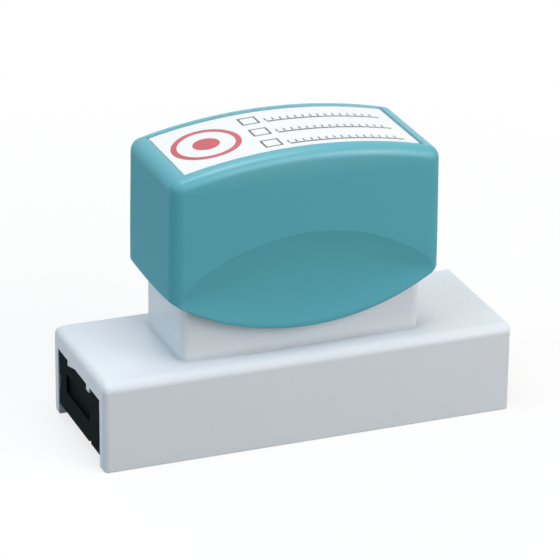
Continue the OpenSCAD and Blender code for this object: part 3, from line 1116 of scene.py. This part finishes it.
@dataclass
class HandleShell:
    """Grip: a crowned block with scooped sides, hollow below, with a recess for the label.

    Attributes:
        edge_r: Rounding of the upright and top edges.
        crown_r: Radius of the crown along the handle.
        rim_arc_r: Radius of the arched rim.
        rim_r: Rounding of the rim's outer edge.
        end_bow: How far the rim bows down in the middle of an end.
        end_lean: How far an end leans in at the top of the crown.
        lean_from: Height at which the ends start to lean, and place along the handle at which they do.
        scoop_r: Radius of a scoop's upper arc.
        scoop_depth: Depth of a scoop.
        scoop_drop: Drop from the crown to the top of a scoop.
        scoop_fall: Drop from the top of a scoop to the end of its upper slope.
        scoop_lap: Distance that a scoop's lower slope would run on past the rim.
        slope_step: Height by which the lower slope's end lies above the upper slope's.
        slope_blend: Depth over which the two slopes of a scoop run into each other.
        recess_rim: Width of the rim round the label, at the ends and along the sides.
        recess_depth: Depth of the label recess.
        recess_r: Rounding of the recess's edge.
        cavity: Length and width of the hollow.
        roof_t: Thickness of the roof under the recess.
        socket: Length and width of the hole in the socket.
        socket_wall: Thickness of the socket's walls and webs.
        socket_low: Lower end of the socket.
        web_low: Lower end of the webs.
        steps: Stations along the front, along an end and round a corner.
        rows: Rows in a rounded edge, on the plain wall and in a scoop.
    """

    edge_r: float = 2.4
    crown_r: float = 100.0
    rim_arc_r: float = 46.5
    rim_r: float = 0.2
    end_bow: float = 0.6
    end_lean: float = 0.28
    lean_from: Point2 = (36.0, 20.0)
    scoop_r: float = 38.3
    scoop_depth: float = 1.2
    scoop_drop: float = 15.9
    scoop_fall: float = 10.7
    scoop_lap: float = 0.6
    slope_step: float = 2.0
    slope_blend: float = 0.4
    recess_rim: Point2 = (2.9, 2.6)
    recess_depth: float = 0.55
    recess_r: float = 0.12
    cavity: Point2 = (47.7, 20.7)
    roof_t: float = 1.9
    socket: Point2 = (20.2, 9.2)
    socket_wall: float = 1.6
    socket_low: float = 35.0
    web_low: float = 39.1
    steps: tuple[int, int, int] = (72, 24, 10)
    rows: tuple[int, int, int] = (10, 8, 20)

    def __post_init__(self) -> None:
        """Works out the places that follow from the frame."""
        extent = Extent.of("handle_shell")
        self.low, self.top = extent.low.z, extent.high.z
        self.half = Vector((extent.size.x / 2, extent.size.y / 2))
        self.core = Vector((self.half.x - self.edge_r, self.half.y - self.edge_r))
        self.recess = [half - rim for half, rim in zip(self.half, self.recess_rim)]
        self.ceiling_sink = self.recess_depth + self.roof_t
        self.crown_z = self.top - self.crown_r
        scoop_top = self.top - self.scoop_drop
        self.scoop_z = scoop_top - self.scoop_r
        self.rim_z = self.low + self.rim_arc_r
        self.rim_fall = scoop_top - self.scoop_fall + self.slope_step - self.low + self.scoop_lap

    def build(self) -> None:
        """Builds the shell with its socket and dresses it."""
        obj = object_from("handle_shell_skin", self.draw)
        self.add_socket(obj)
        obj.data.shade_smooth()
        obj.data.set_sharp_from_angle(angle=math.radians(SHARP_DEG))
        redraw(obj.data, self.keep_creases)
        self.lean(obj)
        settle(obj, TEAL_PLASTIC, Body.HANDLE, "handle_shell")

    def stations(self) -> list[Station]:
        """Walks round the plan, from the left end of the front, with the right end next.

        Returns:
            The stations in order.
        """
        long, short, corner = self.steps
        sides = [
            ((-1, -1), (1, -1), long),
            ((1, -1), (1, 1), short),
            ((1, 1), (-1, 1), long),
            ((-1, 1), (-1, -1), short),
        ]
        found = []
        for quarter, (start, end, count) in enumerate(sides):
            facing = (quarter - 1) * math.pi / 2
            out = Vector((math.cos(facing), math.sin(facing), 0))
            for share in spread(0, 1, count):
                u, v = (a + (b - a) * share for a, b in zip(start, end))
                found.append(Station(u, v, out))
            for turn in spread(facing, facing + math.pi / 2, corner)[1:-1]:
                found.append(Station(*end, Vector((math.cos(turn), math.sin(turn), 0))))
        return found

    def crown(self, x: float, sink: float = 0.0) -> float:
        """Returns the height of the crown, or of a surface a distance under it, at a place along it."""
        return self.crown_z + arch(self.crown_r - sink, x)

    def rim(self, x: float, y: float) -> float:
        """Finds the height of the rim, which is arched along the sides and bows down at the ends.

        Args:
            x: Place along the handle.
            y: Place across it.

        Returns:
            The height.
        """
        hollow = self.cavity[0] / 2
        share = max(0.0, (abs(x) - hollow) / (self.half.x - hollow))
        bow = self.end_bow * share * (1 - (y / self.half.y) ** 2)
        return self.rim_z - arch(self.rim_arc_r, x) - bow

    def slope_r(self, fall: float) -> float:
        """Returns the radius of a scoop's section whose slope ends that far from its edge."""
        return (fall**2 + self.scoop_depth**2) / (2 * self.scoop_depth)

    def slope(self, x: float, lift: float, edge_r: float, fall: float) -> float:
        """Finds the depth of one slope of a scoop, which is turned about a level axis.

        Args:
            x: Place along the handle.
            lift: Height above the axis.
            edge_r: Distance of the slope's edge from the axis.
            fall: Distance from the edge to where the slope ends.

        Returns:
            The depth under the flat wall.
        """
        section_r = self.slope_r(fall)
        return self.scoop_depth - section_r + arch(section_r, math.hypot(x, lift) - edge_r + fall)

    def scooped(self, x: float, y: float, z: float) -> float:
        """Moves a point of the wall inwards where a scoop reaches it.

        Args:
            x: Place along the handle.
            y: Place of the plain wall.
            z: Height.

        Returns:
            The place of the wall there.
        """
        upper = self.slope(x, z - self.scoop_z, self.scoop_r, self.scoop_fall)
        lower = self.slope(x, z - self.rim_z, self.rim_arc_r + self.scoop_lap, self.rim_fall)
        merge = max(0.0, self.slope_blend - abs(upper - lower)) ** 2 / (4 * self.slope_blend)
        depth = min(upper, lower) - merge
        return math.copysign(min(abs(y), self.half.y - depth), y)

    def crease(self, x: float, y: float) -> float:
        """Finds where a scoop's edge crosses an upright line of the wall.

        Args:
            x: Place along the handle.
            y: Place of the plain wall.

        Returns:
            The height of the edge, or one just above the rim where the line has no scoop.
        """
        least = self.rim(x, y) + 2 * self.rim_r
        sink = abs(y) - (self.half.y - self.scoop_depth)
        if sink <= 0:
            return least
        section_r = self.slope_r(self.scoop_fall)
        reach = self.scoop_r - self.scoop_fall + arch(section_r, section_r - sink)
        return max(least, self.scoop_z + math.sqrt(max(0.0, reach**2 - x**2)))

    def line(self, station: Station) -> list[Vector]:
        """Draws one upright line, from the recess floor over the crown and round the rim to the ceiling.

        Args:
            station: Where the line stands.

        Returns:
            The points of the line in order.
        """
        core = Vector((station.u * self.core.x, station.v * self.core.y, 0))
        core.z = self.crown(core.x, self.edge_r)
        middle = self.recess_r * ROUND_MIDDLE
        edge = ((0, self.recess_depth), (0, self.recess_r), (middle, middle), (self.recess_r, 0))
        points = []
        for grow, sink in edge:
            x, y = station.u * (self.recess[0] + grow), station.v * (self.recess[1] + grow)
            points.append(Vector((x, y, self.crown(x, sink))))
        pole = Vector((core.x / (self.crown_r - self.edge_r), 0, 0))
        pole.z = math.sqrt(1 - pole.x**2)
        edge_rows, wall_rows, scoop_rows = self.rows
        turn = station.out.angle(pole)
        for share in spread(1, 0, edge_rows):
            near, far = math.sin((1 - share) * turn), math.sin(share * turn)
            points.append(core + (station.out * near + pole * far) * self.edge_r / math.sin(turn))
        wall = core + station.out * self.edge_r
        crease = self.crease(wall.x, wall.y)
        low = self.rim(wall.x, wall.y) + self.rim_r
        for z in spread(core.z, crease, wall_rows)[1:] + spread(crease, low, scoop_rows)[1:]:
            points.append(Vector((wall.x, self.scooped(wall.x, wall.y, z), z)))
        return points + self.underside(station, points[-1])

    def underside(self, station: Station, edge: Vector) -> list[Vector]:
        """Draws the end of an upright line, round the rim and up inside the hollow.

        Args:
            station: Where the line stands.
            edge: The last point on the outer wall.

        Returns:
            The points of the line in order.
        """
        middle = self.rim_r * ROUND_MIDDLE
        points = []
        for inset, lift in ((middle, middle), (self.rim_r, 0)):
            x, y = edge.x - station.out.x * inset, edge.y - station.out.y * inset
            points.append(Vector((x, y, self.rim(x, y) + lift)))
        x, y = (share * size / 2 for share, size in zip((station.u, station.v), self.cavity))
        points.append(Vector((x, y, self.rim(x, y))))
        points.append(Vector((x, y, self.crown(x, self.ceiling_sink))))
        return points

    def draw(self, drawing: Drawing) -> None:
        """Joins the upright lines, closes the recess floor and the ceiling, and merges the corners.

        Args:
            drawing: The empty mesh.
        """
        lines = [[drawing.verts.new(p) for p in self.line(s)] for s in self.stations()]
        for i, line in enumerate(lines):
            before = lines[i - 1]
            for j in range(len(line) - 1):
                drawing.faces.new((before[j], before[j + 1], line[j + 1], line[j]))
        self.cap(drawing, self.recess, self.recess_depth)
        self.cap(drawing, [size / 2 for size in self.cavity], self.ceiling_sink)
        bmesh.ops.remove_doubles(drawing, verts=drawing.verts[:], dist=MERGE)
        bmesh.ops.recalc_face_normals(drawing, faces=drawing.faces[:])

    def cap(self, drawing: Drawing, reach: Sequence[float], sink: float) -> None:
        """Draws a crowned floor or ceiling as a grid that meets the upright lines.

        Args:
            drawing: The mesh.
            reach: Half the length and half the width.
            sink: Distance under the crown.
        """
        across = [share * reach[1] for share in spread(-1, 1, self.steps[1])]
        rows = []
        for share in spread(-1, 1, self.steps[0]):
            x = share * reach[0]
            rows.append([drawing.verts.new((x, y, self.crown(x, sink))) for y in across])
        for near, far in zip(rows, rows[1:]):
            for j in range(len(across) - 1):
                drawing.faces.new((near[j], near[j + 1], far[j + 1], far[j]))

    def add_socket(self, obj: Piece) -> None:
        """Hangs the socket and its two webs from the ceiling.

        Args:
            obj: The shell.
        """
        root = self.crown(self.cavity[0] / 2, self.recess_depth + self.roof_t / 2)
        block = centred_outline(*(size + 2 * self.socket_wall for size in self.socket))
        outer = prism("socket", block, Axis.Z, self.socket_low, root)
        web = centred_outline(self.cavity[0] + PAST, self.socket_wall)
        combine(outer, prism("web", web, Axis.Z, self.web_low, root), Join.ADD)
        ceiling = self.crown(self.socket[0] / 2, self.ceiling_sink)
        hole = prism("hole", centred_outline(*self.socket), Axis.Z, self.socket_low - PAST, ceiling)
        combine(outer, hole, Join.CUT)
        combine(obj, outer, Join.ADD)

    def keep_creases(self, drawing: Drawing) -> None:
        """Marks the edges of the scoops as sharp.

        Args:
            drawing: The mesh of the shell.
        """
        for edge in drawing.edges:
            ends = [v.co for v in edge.verts]
            on_arc = all(abs(self.crease(p.x, p.y) - p.z) < MERGE for p in ends)
            over_rim = all(p.z > self.rim(p.x, p.y) + 3 * self.rim_r for p in ends)
            if on_arc and over_rim and abs(ends[0].x - ends[1].x) > SAME:
                edge.smooth = False

    def lean(self, obj: Piece) -> None:
        """Lets both ends lean in towards the top, as a moulding's ends do.

        Args:
            obj: The shell, of which only the ends move.
        """
        low, near = self.lean_from
        for vertex in obj.data.vertices:
            x, z = abs(vertex.co.x), vertex.co.z
            share = max(0.0, (x - near) / (self.half.x - near)) * max(0.0, (z - low) / (self.top - low))
            vertex.co.x = math.copysign(x - self.end_lean * share, vertex.co.x)


@dataclass
class Label:
    """Card with a plain printed design, under a clear cover.

    Attributes:
        axis_z: Height of the axis of the handle's crown, which they follow.
        gap: Gap between the card and the cover.
        seam: How far the sheets' edges stay back from their solids, at the ends and along the sides.
        sheet_steps: Steps along a sheet.
        print_t: Thickness of the ink.
        ring_x: Middle of the red ring.
        ring_r: Radius of the middle of the ring's line.
        ring_w: Width of the ring's line.
        ring_steps: Steps round the ring.
        dot_r: Radius of the red dot.
        dot_steps: Steps round the dot, and from its middle to its edge.
        rows: Rows of the black design.
        row_pitch: Distance between rows.
        box: Side of a check box.
        line: Width of the fine lines.
        box_x: Left side of the check boxes.
        bar_x: Left and right end of the bars.
        bar_steps: Points along a bar.
        tick_pitch: Distance between the ticks over a bar.
        tick_h: Height of a tick.
        tick_w: Width of a tick, as a share of a fine line's.
        tick_rise: Height of a tick's middle over its bar, as a share of its height.
    """

    axis_z: float
    gap: float = 0.03
    seam: Point2 = (0.34, 0.18)
    sheet_steps: int = 72
    print_t: float = 0.015
    ring_x: float = -15.2
    ring_r: float = 5.9
    ring_w: float = 1.1
    ring_steps: int = 96
    dot_r: float = 2.5
    dot_steps: tuple[int, int] = (64, 6)
    rows: int = 3
    row_pitch: float = 5.9
    box: float = 3.1
    line: float = 0.5
    box_x: float = -6.4
    bar_x: Point2 = (-1.8, 20.4)
    bar_steps: int = 40
    tick_pitch: float = 1.48
    tick_h: float = 1.1
    tick_w: float = 0.6
    tick_rise: float = 0.9

    def __post_init__(self) -> None:
        """Reads the boxes of the card and the cover from the frame."""
        self.card, self.cover = Extent.of("label_card"), Extent.of("label_cover")
        self.card_r = self.card.high.z - self.axis_z

    def build(self) -> None:
        """Builds the card, its print and the cover."""
        low_r = math.hypot(self.card.low.z - self.axis_z, self.card.size.x / 2)
        sheet = self.sheet("label_card_sheet", self.card, low_r, self.card_r)
        settle(sheet, WHITE_CARD, Body.HANDLE, "label_card")
        self.red_print()
        self.black_print()
        low_r, high_r = self.card_r + self.gap, self.cover.high.z - self.axis_z
        film = self.sheet("label_cover_film", self.cover, low_r, high_r)
        settle(film, CLEAR_FILM, Body.HANDLE, "label_cover")

    def sheet(self, name: str, extent: Extent, inner_r: float, outer_r: float) -> Piece:
        """Draws a crowned sheet.

        Args:
            name: Name of the piece.
            extent: Box of the frame's node.
            inner_r: Radius of its lower face about the crown's axis.
            outer_r: Radius of its upper face.

        Returns:
            The sheet.
        """
        end_seam, side_seam = self.seam
        half = extent.size.x / 2 - end_seam
        places = spread(-half, half, self.sheet_steps)
        outline = [(x, self.axis_z + arch(outer_r, x)) for x in places]
        outline += [(x, self.axis_z + arch(inner_r, x)) for x in reversed(places)]
        obj = prism(name, outline, Axis.Y, extent.low.y + side_seam, extent.high.y - side_seam)
        shade(obj)
        return obj

    def print_rule(self, name: str, sizes: dict[str, float | int]) -> GeometryRule:
        """Starts the tree of a print with its own sizes and those that all prints share."""
        sizes |= {"Crown Axis": self.axis_z, "Crown Radius": self.card_r + self.print_t}
        return GeometryRule(name, sizes | {"Ink Thickness": self.print_t})

    def red_print(self) -> None:
        """Prints the red ring and dot."""
        sizes = {"Ring Radius": self.ring_r, "Line Width": self.ring_w, "Dot Radius": self.dot_r}
        rule = self.print_rule("printed_ring", sizes | {"Middle": self.ring_x})
        size = rule.sizes
        section = rule.rectangle(size["Line Width"], size["Ink Thickness"])
        ring = rule.sweep(rule.circle(size["Ring Radius"], self.ring_steps), section)
        inputs = {"Radius": size["Dot Radius"], "Depth": size["Ink Thickness"]}
        inputs |= zip(("Vertices", "Fill Segments"), self.dot_steps)
        dot = rule.part("GeometryNodeMeshCylinder", inputs)
        flat = rule.shift(rule.gather(ring, dot), size["Middle"])
        obj = rule.grow("label_print_red", rule.on_crown(flat), RED_INK)
        shade(obj)
        settle(obj, RED_INK, Body.HANDLE)

    def black_print(self) -> None:
        """Prints rows of check boxes, bars and ticks in black."""
        rule = self.print_rule(
            "printed_rows",
            {
                "Rows": self.rows,
                "Row Pitch": self.row_pitch,
                "Box Side": self.box,
                "Line Width": self.line,
                "Box Start": self.box_x,
                "Bar Start": self.bar_x[0],
                "Bar End": self.bar_x[1],
                "Tick Pitch": self.tick_pitch,
                "Tick Height": self.tick_h,
            },
        )
        size = rule.sizes
        side, line, thick = size["Box Side"], size["Line Width"], size["Ink Thickness"]
        start, pitch, tick_h = size["Bar Start"], size["Tick Pitch"], size["Tick Height"]
        length = rule.calc("SUBTRACT", size["Bar End"], start)
        low = rule.calc("MULTIPLY", side, -0.5)
        box = rule.sweep(rule.rectangle(side, side), rule.rectangle(line, thick))
        box_x = rule.calc("ADD", size["Box Start"], rule.calc("MULTIPLY", side, 0.5))
        inputs = {"Size": rule.vector(length, line, thick), "Vertices X": self.bar_steps}
        bar = rule.part("GeometryNodeMeshCube", inputs)
        bar_x = rule.calc("ADD", start, rule.calc("MULTIPLY", length, 0.5))
        tick_w = rule.calc("MULTIPLY", line, self.tick_w)
        tick = rule.part("GeometryNodeMeshCube", {"Size": rule.vector(tick_w, tick_h, thick)})
        tick_y = rule.calc("ADD", low, rule.calc("MULTIPLY", tick_h, self.tick_rise))
        count = rule.calc("ADD", rule.calc("FLOOR", rule.calc("DIVIDE", length, pitch)), 1.0)
        ticks = rule.repeat(tick, count, rule.vector(start, tick_y), rule.vector(pitch))
        row = rule.gather(rule.shift(box, box_x), rule.shift(bar, bar_x, low), ticks)
        rows, step = size["Rows"], size["Row Pitch"]
        steps = rule.calc("SUBTRACT", rows, 1.0)
        first = rule.calc("MULTIPLY", steps, rule.calc("MULTIPLY", step, -0.5))
        copies = rule.repeat(row, rows, rule.vector(0.0, first), rule.vector(0.0, step))
        flat = rule.part("GeometryNodeRealizeInstances", {"Geometry": copies})
        obj = rule.grow("label_print_black", rule.on_crown(flat), BLACK_INK)
        settle(obj, BLACK_INK, Body.HANDLE)


@dataclass
class Spring:
    """Compression spring with closed ends round a post.

    Attributes:
        node: Node of the frame that it stands for.
        turns: Number of turns.
        wire_d: Diameter of the wire.
        end_pitch: Pitch of the first and the last turn.
        travel: How far the press joint shortens it; not used.
        steps: Steps along a turn and round the wire.
        sharp_deg: Least angle of a sharp edge, in degrees.
    """

    node: str
    turns: int = 7
    wire_d: float = 0.9
    end_pitch: float = 1.5
    travel: float = 2.2
    steps: tuple[int, int] = (36, 14)
    sharp_deg: float = 50.0

    def build(self) -> None:
        """Winds the spring and dresses it."""
        extent = Extent.of(self.node)
        rise = extent.size.z - self.wire_d - 2 * self.end_pitch
        rule = GeometryRule(
            self.node + "_winding",
            {
                "Turns": float(self.turns),
                "Wire Radius": self.wire_d / 2,
                "Coil Radius": (extent.size.y - self.wire_d) / 2,
                "End Pitch": self.end_pitch,
                "Lowest Centre": extent.low.z + self.wire_d / 2,
                "Pitch": rise / (self.turns - 2),
                "Middle": (extent.low.x + extent.high.x) / 2,
            },
        )
        turn_steps, wire_steps = self.steps
        line = rule.part("GeometryNodeCurvePrimitiveLine")
        inputs = {"Curve": line, "Count": self.turns * turn_steps + 1}
        points = rule.part("GeometryNodeResampleCurve", inputs)
        section = rule.circle(rule.sizes["Wire Radius"], wire_steps)
        coil = rule.sweep(rule.put(points, self.winding(rule)), section, capped=True)
        obj = rule.grow(self.node + "_coil", coil, SPRING_STEEL)
        shade(obj, self.sharp_deg)
        settle(obj, SPRING_STEEL, Body.BASE, self.node)
        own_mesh(obj)

    def winding(self, rule: GeometryRule) -> Socket:
        """Finds the place of each point of the wire.

        Args:
            rule: The spring's tree.

        Returns:
            The place along the coil, with a low pitch in the first and the last turn.
        """
        size = rule.sizes
        turn = rule.calc("MULTIPLY", rule.part("GeometryNodeSplineParameter"), size["Turns"])
        angle = rule.calc("MULTIPLY", turn, 2 * math.pi)
        inner = rule.calc("SUBTRACT", size["Turns"], 2.0)
        past_first = rule.calc("SUBTRACT", turn, 1.0)
        first = rule.calc("MINIMUM", turn, 1.0)
        between = rule.calc("MAXIMUM", rule.calc("MINIMUM", past_first, inner), 0.0)
        last = rule.calc("MAXIMUM", rule.calc("SUBTRACT", past_first, inner), 0.0)
        level = size["Lowest Centre"]
        for share, pitch in ((first, "End Pitch"), (between, "Pitch"), (last, "End Pitch")):
            level = rule.calc("ADD", level, rule.calc("MULTIPLY", share, size[pitch]))
        ways = (rule.calc(way, angle) for way in ("COSINE", "SINE"))
        across, along = (rule.calc("MULTIPLY", size["Coil Radius"], way) for way in ways)
        return rule.vector(rule.calc("ADD", size["Middle"], across), along, level)


@dataclass
class SoftenedNode:
    """Copy of a node of the frame whose sharp edges are broken, as on a real moulding or cut pad.

    Attributes:
        node: Node of the frame.
        finish: Its finish.
        slot: Its material slot in the record; not used.
        edge_r: Rounding of its edges.
        steps: Segments in that rounding.
        flat_deg: Angle under which neighbouring faces become one, in degrees.
        edge_deg: Least angle of an edge that is broken, in degrees.
    """

    node: str
    finish: Finish
    slot: str
    edge_r: float = 0.12
    steps: int = 2
    flat_deg: float = 0.5
    edge_deg: float = 50.0

    def build(self, nodes: dict[str, Piece]) -> Piece:
        """Builds the copy and lets it ride on the plunger.

        Args:
            nodes: Nodes of the frame by name.

        Returns:
            The piece.
        """

        def grow(drawing: Drawing) -> None:
            """Copies the node in millimetres and merges its flat faces.

            Args:
                drawing: The empty mesh.
            """
            drawing.from_mesh(nodes[self.node].data)
            bmesh.ops.scale(drawing, vec=Vector((1, 1, 1)) / MM, verts=drawing.verts[:])
            bmesh.ops.remove_doubles(drawing, verts=drawing.verts[:], dist=MERGE)
            whole = {"verts": drawing.verts[:], "edges": drawing.edges[:]}
            bmesh.ops.dissolve_limit(drawing, angle_limit=math.radians(self.flat_deg), **whole)

        obj = object_from(self.node + "_soft", grow)
        limit = {"limit_method": "ANGLE", "angle_limit": math.radians(self.edge_deg)}
        modify(obj, "BEVEL", width=self.edge_r, segments=self.steps, **limit)
        shade(obj)
        settle(obj, self.finish, Body.PLUNGER, self.node)
        return obj


SOFTENED = (
    SoftenedNode("die_mount", BLACK_PLASTIC, "black_plastic"),
    SoftenedNode("plunger_frame", DARK_PLASTIC, "dark_plastic", 0.2),
    SoftenedNode("die_frame", BLACK_PLASTIC, "black_plastic"),
    SoftenedNode("ink_barrier", BARRIER_PLASTIC, "barrier_plastic", 0.1),
    SoftenedNode("die_red", RED_RUBBER, "red_die", 0.08),
    SoftenedNode("die_black", BLACK_RUBBER, "black_die", 0.08),
    SoftenedNode("ink_pad_red", RED_FELT, "red_felt", 0.5),
    SoftenedNode("ink_pad_black", BLACK_FELT, "black_felt", 0.5),
)


# Studio


@dataclass(frozen=True)
class PhotoCamera:
    """Camera at the photograph's viewpoint.

    Attributes:
        azimuth_deg: Turn round the object, from straight in front.
        elevation_deg: Height above the horizon.
        roll_deg: Roll about the line of sight.
        distance: Distance from the aim.
        aim: Point that the middle of the picture shows.
        focal_px: Focal length in pixels.
        frame_px: Width of the picture in pixels.
        sensor: Width of the sensor.
        clip: Nearest and farthest distance that shows.
    """

    azimuth_deg: float = -21.57
    elevation_deg: float = 23.31
    roll_deg: float = 0.67
    distance: float = 627.4
    aim: Point3 = (-0.58, 0.0, 26.40)
    focal_px: float = 3392.8
    frame_px: float = 560.0
    sensor: float = 36.0
    clip: Point2 = (10.0, 10000.0)

    def build(self) -> None:
        """Makes the camera and hands it to the scene."""
        data = bpy.data.cameras.new("photo_camera")
        data.sensor_width = self.sensor
        data.lens = self.sensor * self.focal_px / self.frame_px
        data.clip_start, data.clip_end = (reach * MM for reach in self.clip)
        angles = (self.azimuth_deg, self.elevation_deg, self.roll_deg)
        turn, rise, roll = (math.radians(angle) for angle in angles)
        away = math.cos(rise)
        back = Vector((math.sin(turn) * away, -math.cos(turn) * away, math.sin(rise)))
        level = (-back).cross(Vector((0, 0, 1))).normalized()
        upright = back.cross(level)
        right = level * math.cos(roll) + upright * math.sin(roll)
        up = upright * math.cos(roll) - level * math.sin(roll)
        pose = Matrix((right, up, back)).transposed().to_4x4()
        pose.translation = (Vector(self.aim) + back * self.distance) * MM
        camera = bpy.data.objects.new("photo_camera", data)
        bpy.context.scene.collection.objects.link(camera)
        camera.matrix_world = pose
        bpy.context.scene.camera = camera


@dataclass(frozen=True)
class SoftBox:
    """One square area lamp, with its sizes in metres.

    Attributes:
        name: Name of the lamp.
        place: Where it hangs.
        side: Length of its side.
        radiance: Brightness of its face.
        tint: Colour of its light.
        mirrored: Whether it shows in glossy surfaces.
        aim: What it points at.
    """

    name: str
    place: Point3
    side: float
    radiance: float
    tint: Colour = (1.0, 1.0, 1.0)
    mirrored: bool = True
    aim: Point3 = (0.0, 0.0, 0.02)

    def build(self) -> None:
        """Hangs the lamp."""
        data = bpy.data.lights.new(self.name, "AREA")
        data.shape = "SQUARE"
        data.size = self.side
        data.energy = self.radiance * math.pi * self.side**2
        data.color = self.tint
        lamp = bpy.data.objects.new(self.name, data)
        bpy.context.scene.collection.objects.link(lamp)
        lamp.visible_glossy = self.mirrored
        lamp.location = self.place
        lamp.rotation_mode = "QUATERNION"
        lamp.rotation_quaternion = (Vector(self.aim) - Vector(self.place)).to_track_quat("-Z", "Y")


@dataclass(frozen=True)
class Studio:
    """Pale floor, soft lamps and a white background.

    Attributes:
        floor_side: Side of the floor, in metres.
        floor_sink: Gap between the floor and the foot of the object.
        floor_grey: Share of light that the floor throws back on the object.
        floor_pale: The same for what is seen of the floor.
        floor_white: Share of plain white in what is seen of the floor by the object.
        floor_fade: Distances from the middle, in metres, where that share starts to rise and is whole.
        ambient: Light from all round.
        lamps: The lamps.
    """

    floor_side: float = 6.0
    floor_sink: float = 0.05
    floor_grey: float = 0.3
    floor_pale: float = 0.9
    floor_white: float = 0.75
    floor_fade: Point2 = (0.07, 0.2)
    ambient: float = 0.02
    lamps: tuple[SoftBox, ...] = (
        SoftBox("front_box", (0.25, -0.9, 0.5), 0.7, 2.35),
        SoftBox("side_box", (0.34, -0.3, 0.25), 0.3, 3.6, (1.08, 1.0, 0.97)),
        SoftBox("high_box", (0.05, -0.16, 0.9), 0.3, 5.0),
        SoftBox("top_box", (-0.05, 0.0, 1.1), 1.0, 1.55),
        SoftBox("left_box", (-0.8, -0.05, 0.5), 0.7, 2.3, (0.84, 1.01, 1.13)),
        SoftBox("back_box", (-0.1, 0.8, 0.6), 0.7, 1.7, mirrored=False),
    )

    def build(self) -> None:
        """Lays the floor, hangs the lamps and sets the background."""
        bpy.context.scene.view_settings.view_transform = "Standard"

        def grow(drawing: Drawing) -> None:
            """Draws the floor's one face, in metres."""
            corners = centred_outline(self.floor_side, self.floor_side)
            drawing.faces.new([drawing.verts.new((x, y, -self.floor_sink * MM)) for x, y in corners])

        floor = object_from("floor", grow)
        floor.data.materials.append(self.floor_material())
        for lamp in self.lamps:
            lamp.build()
        self.background()

    def seen(self, tree: Tree) -> Socket:
        """Tells whether a ray comes from the camera, straight or by a reflection or through glass.

        Args:
            tree: Shader tree of the floor or the world.

        Returns:
            One for such a ray, and otherwise zero.
        """
        path = add_node(tree, "ShaderNodeLightPath").outputs
        bent = calc(tree, "MAXIMUM", path["Is Glossy Ray"], path["Is Transmission Ray"])
        return calc(tree, "MAXIMUM", path["Is Camera Ray"], bent)

    def floor_material(self) -> bpy.types.Material:
        """Makes the floor's material: pale, lifted towards white where it is seen, with the shadow kept.

        Returns:
            The material.
        """
        material, tree = start_material("pale_floor")
        seen = self.seen(tree)
        pale = remap(tree, seen, UNIT, (self.floor_grey, self.floor_pale))
        matt = add_node(tree, "ShaderNodeBsdfDiffuse", {"Color": pale}).outputs[0]
        white = add_node(tree, "ShaderNodeEmission", {"Color": WHITE, "Strength": 1.0}).outputs[0]
        inputs = {0: place_in(tree)}
        away = add_node(tree, "ShaderNodeVectorMath", inputs, operation="LENGTH").outputs["Value"]
        whiteness = (self.floor_white, 1.0)
        fade = remap(tree, away, self.floor_fade, whiteness, interpolation_type="SMOOTHSTEP")
        share = calc(tree, "MULTIPLY", seen, fade)
        mixed = add_node(tree, "ShaderNodeMixShader", {0: share, 1: matt, 2: white})
        add_node(tree, "ShaderNodeOutputMaterial", {"Surface": mixed.outputs[0]})
        return material

    def background(self) -> None:
        """Sets a white background over an even, softer light."""
        world = bpy.data.worlds.new("white_studio")
        bpy.context.scene.world = world
        world.use_nodes = True
        tree = world.node_tree
        tree.nodes.clear()
        strength = remap(tree, self.seen(tree), UNIT, (self.ambient, 1.0))
        light = add_node(tree, "ShaderNodeBackground", {"Color": WHITE, "Strength": strength})
        add_node(tree, "ShaderNodeOutputWorld", {"Surface": light.outputs[0]})


def main() -> None:
    """Loads the frame, builds and dresses each sub-assembly, and sets up the studio."""
    logging.basicConfig(level=logging.INFO, format="%(name)s: %(message)s")
    for obj in list(bpy.data.objects):
        bpy.data.objects.remove(obj)
    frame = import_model()
    PhotoCamera().build()
    Studio().build()
    BaseShell().build()
    handle = HandleShell()
    handle.build()
    Label(handle.crown_z).build()
    for node in ("spring_left", "spring_right"):
        Spring(node).build()
    for part in SOFTENED:
        piece = part.build(frame["nodes"])
        isinstance(part.finish, FibreMat)


if __name__ == "__main__":
    main()
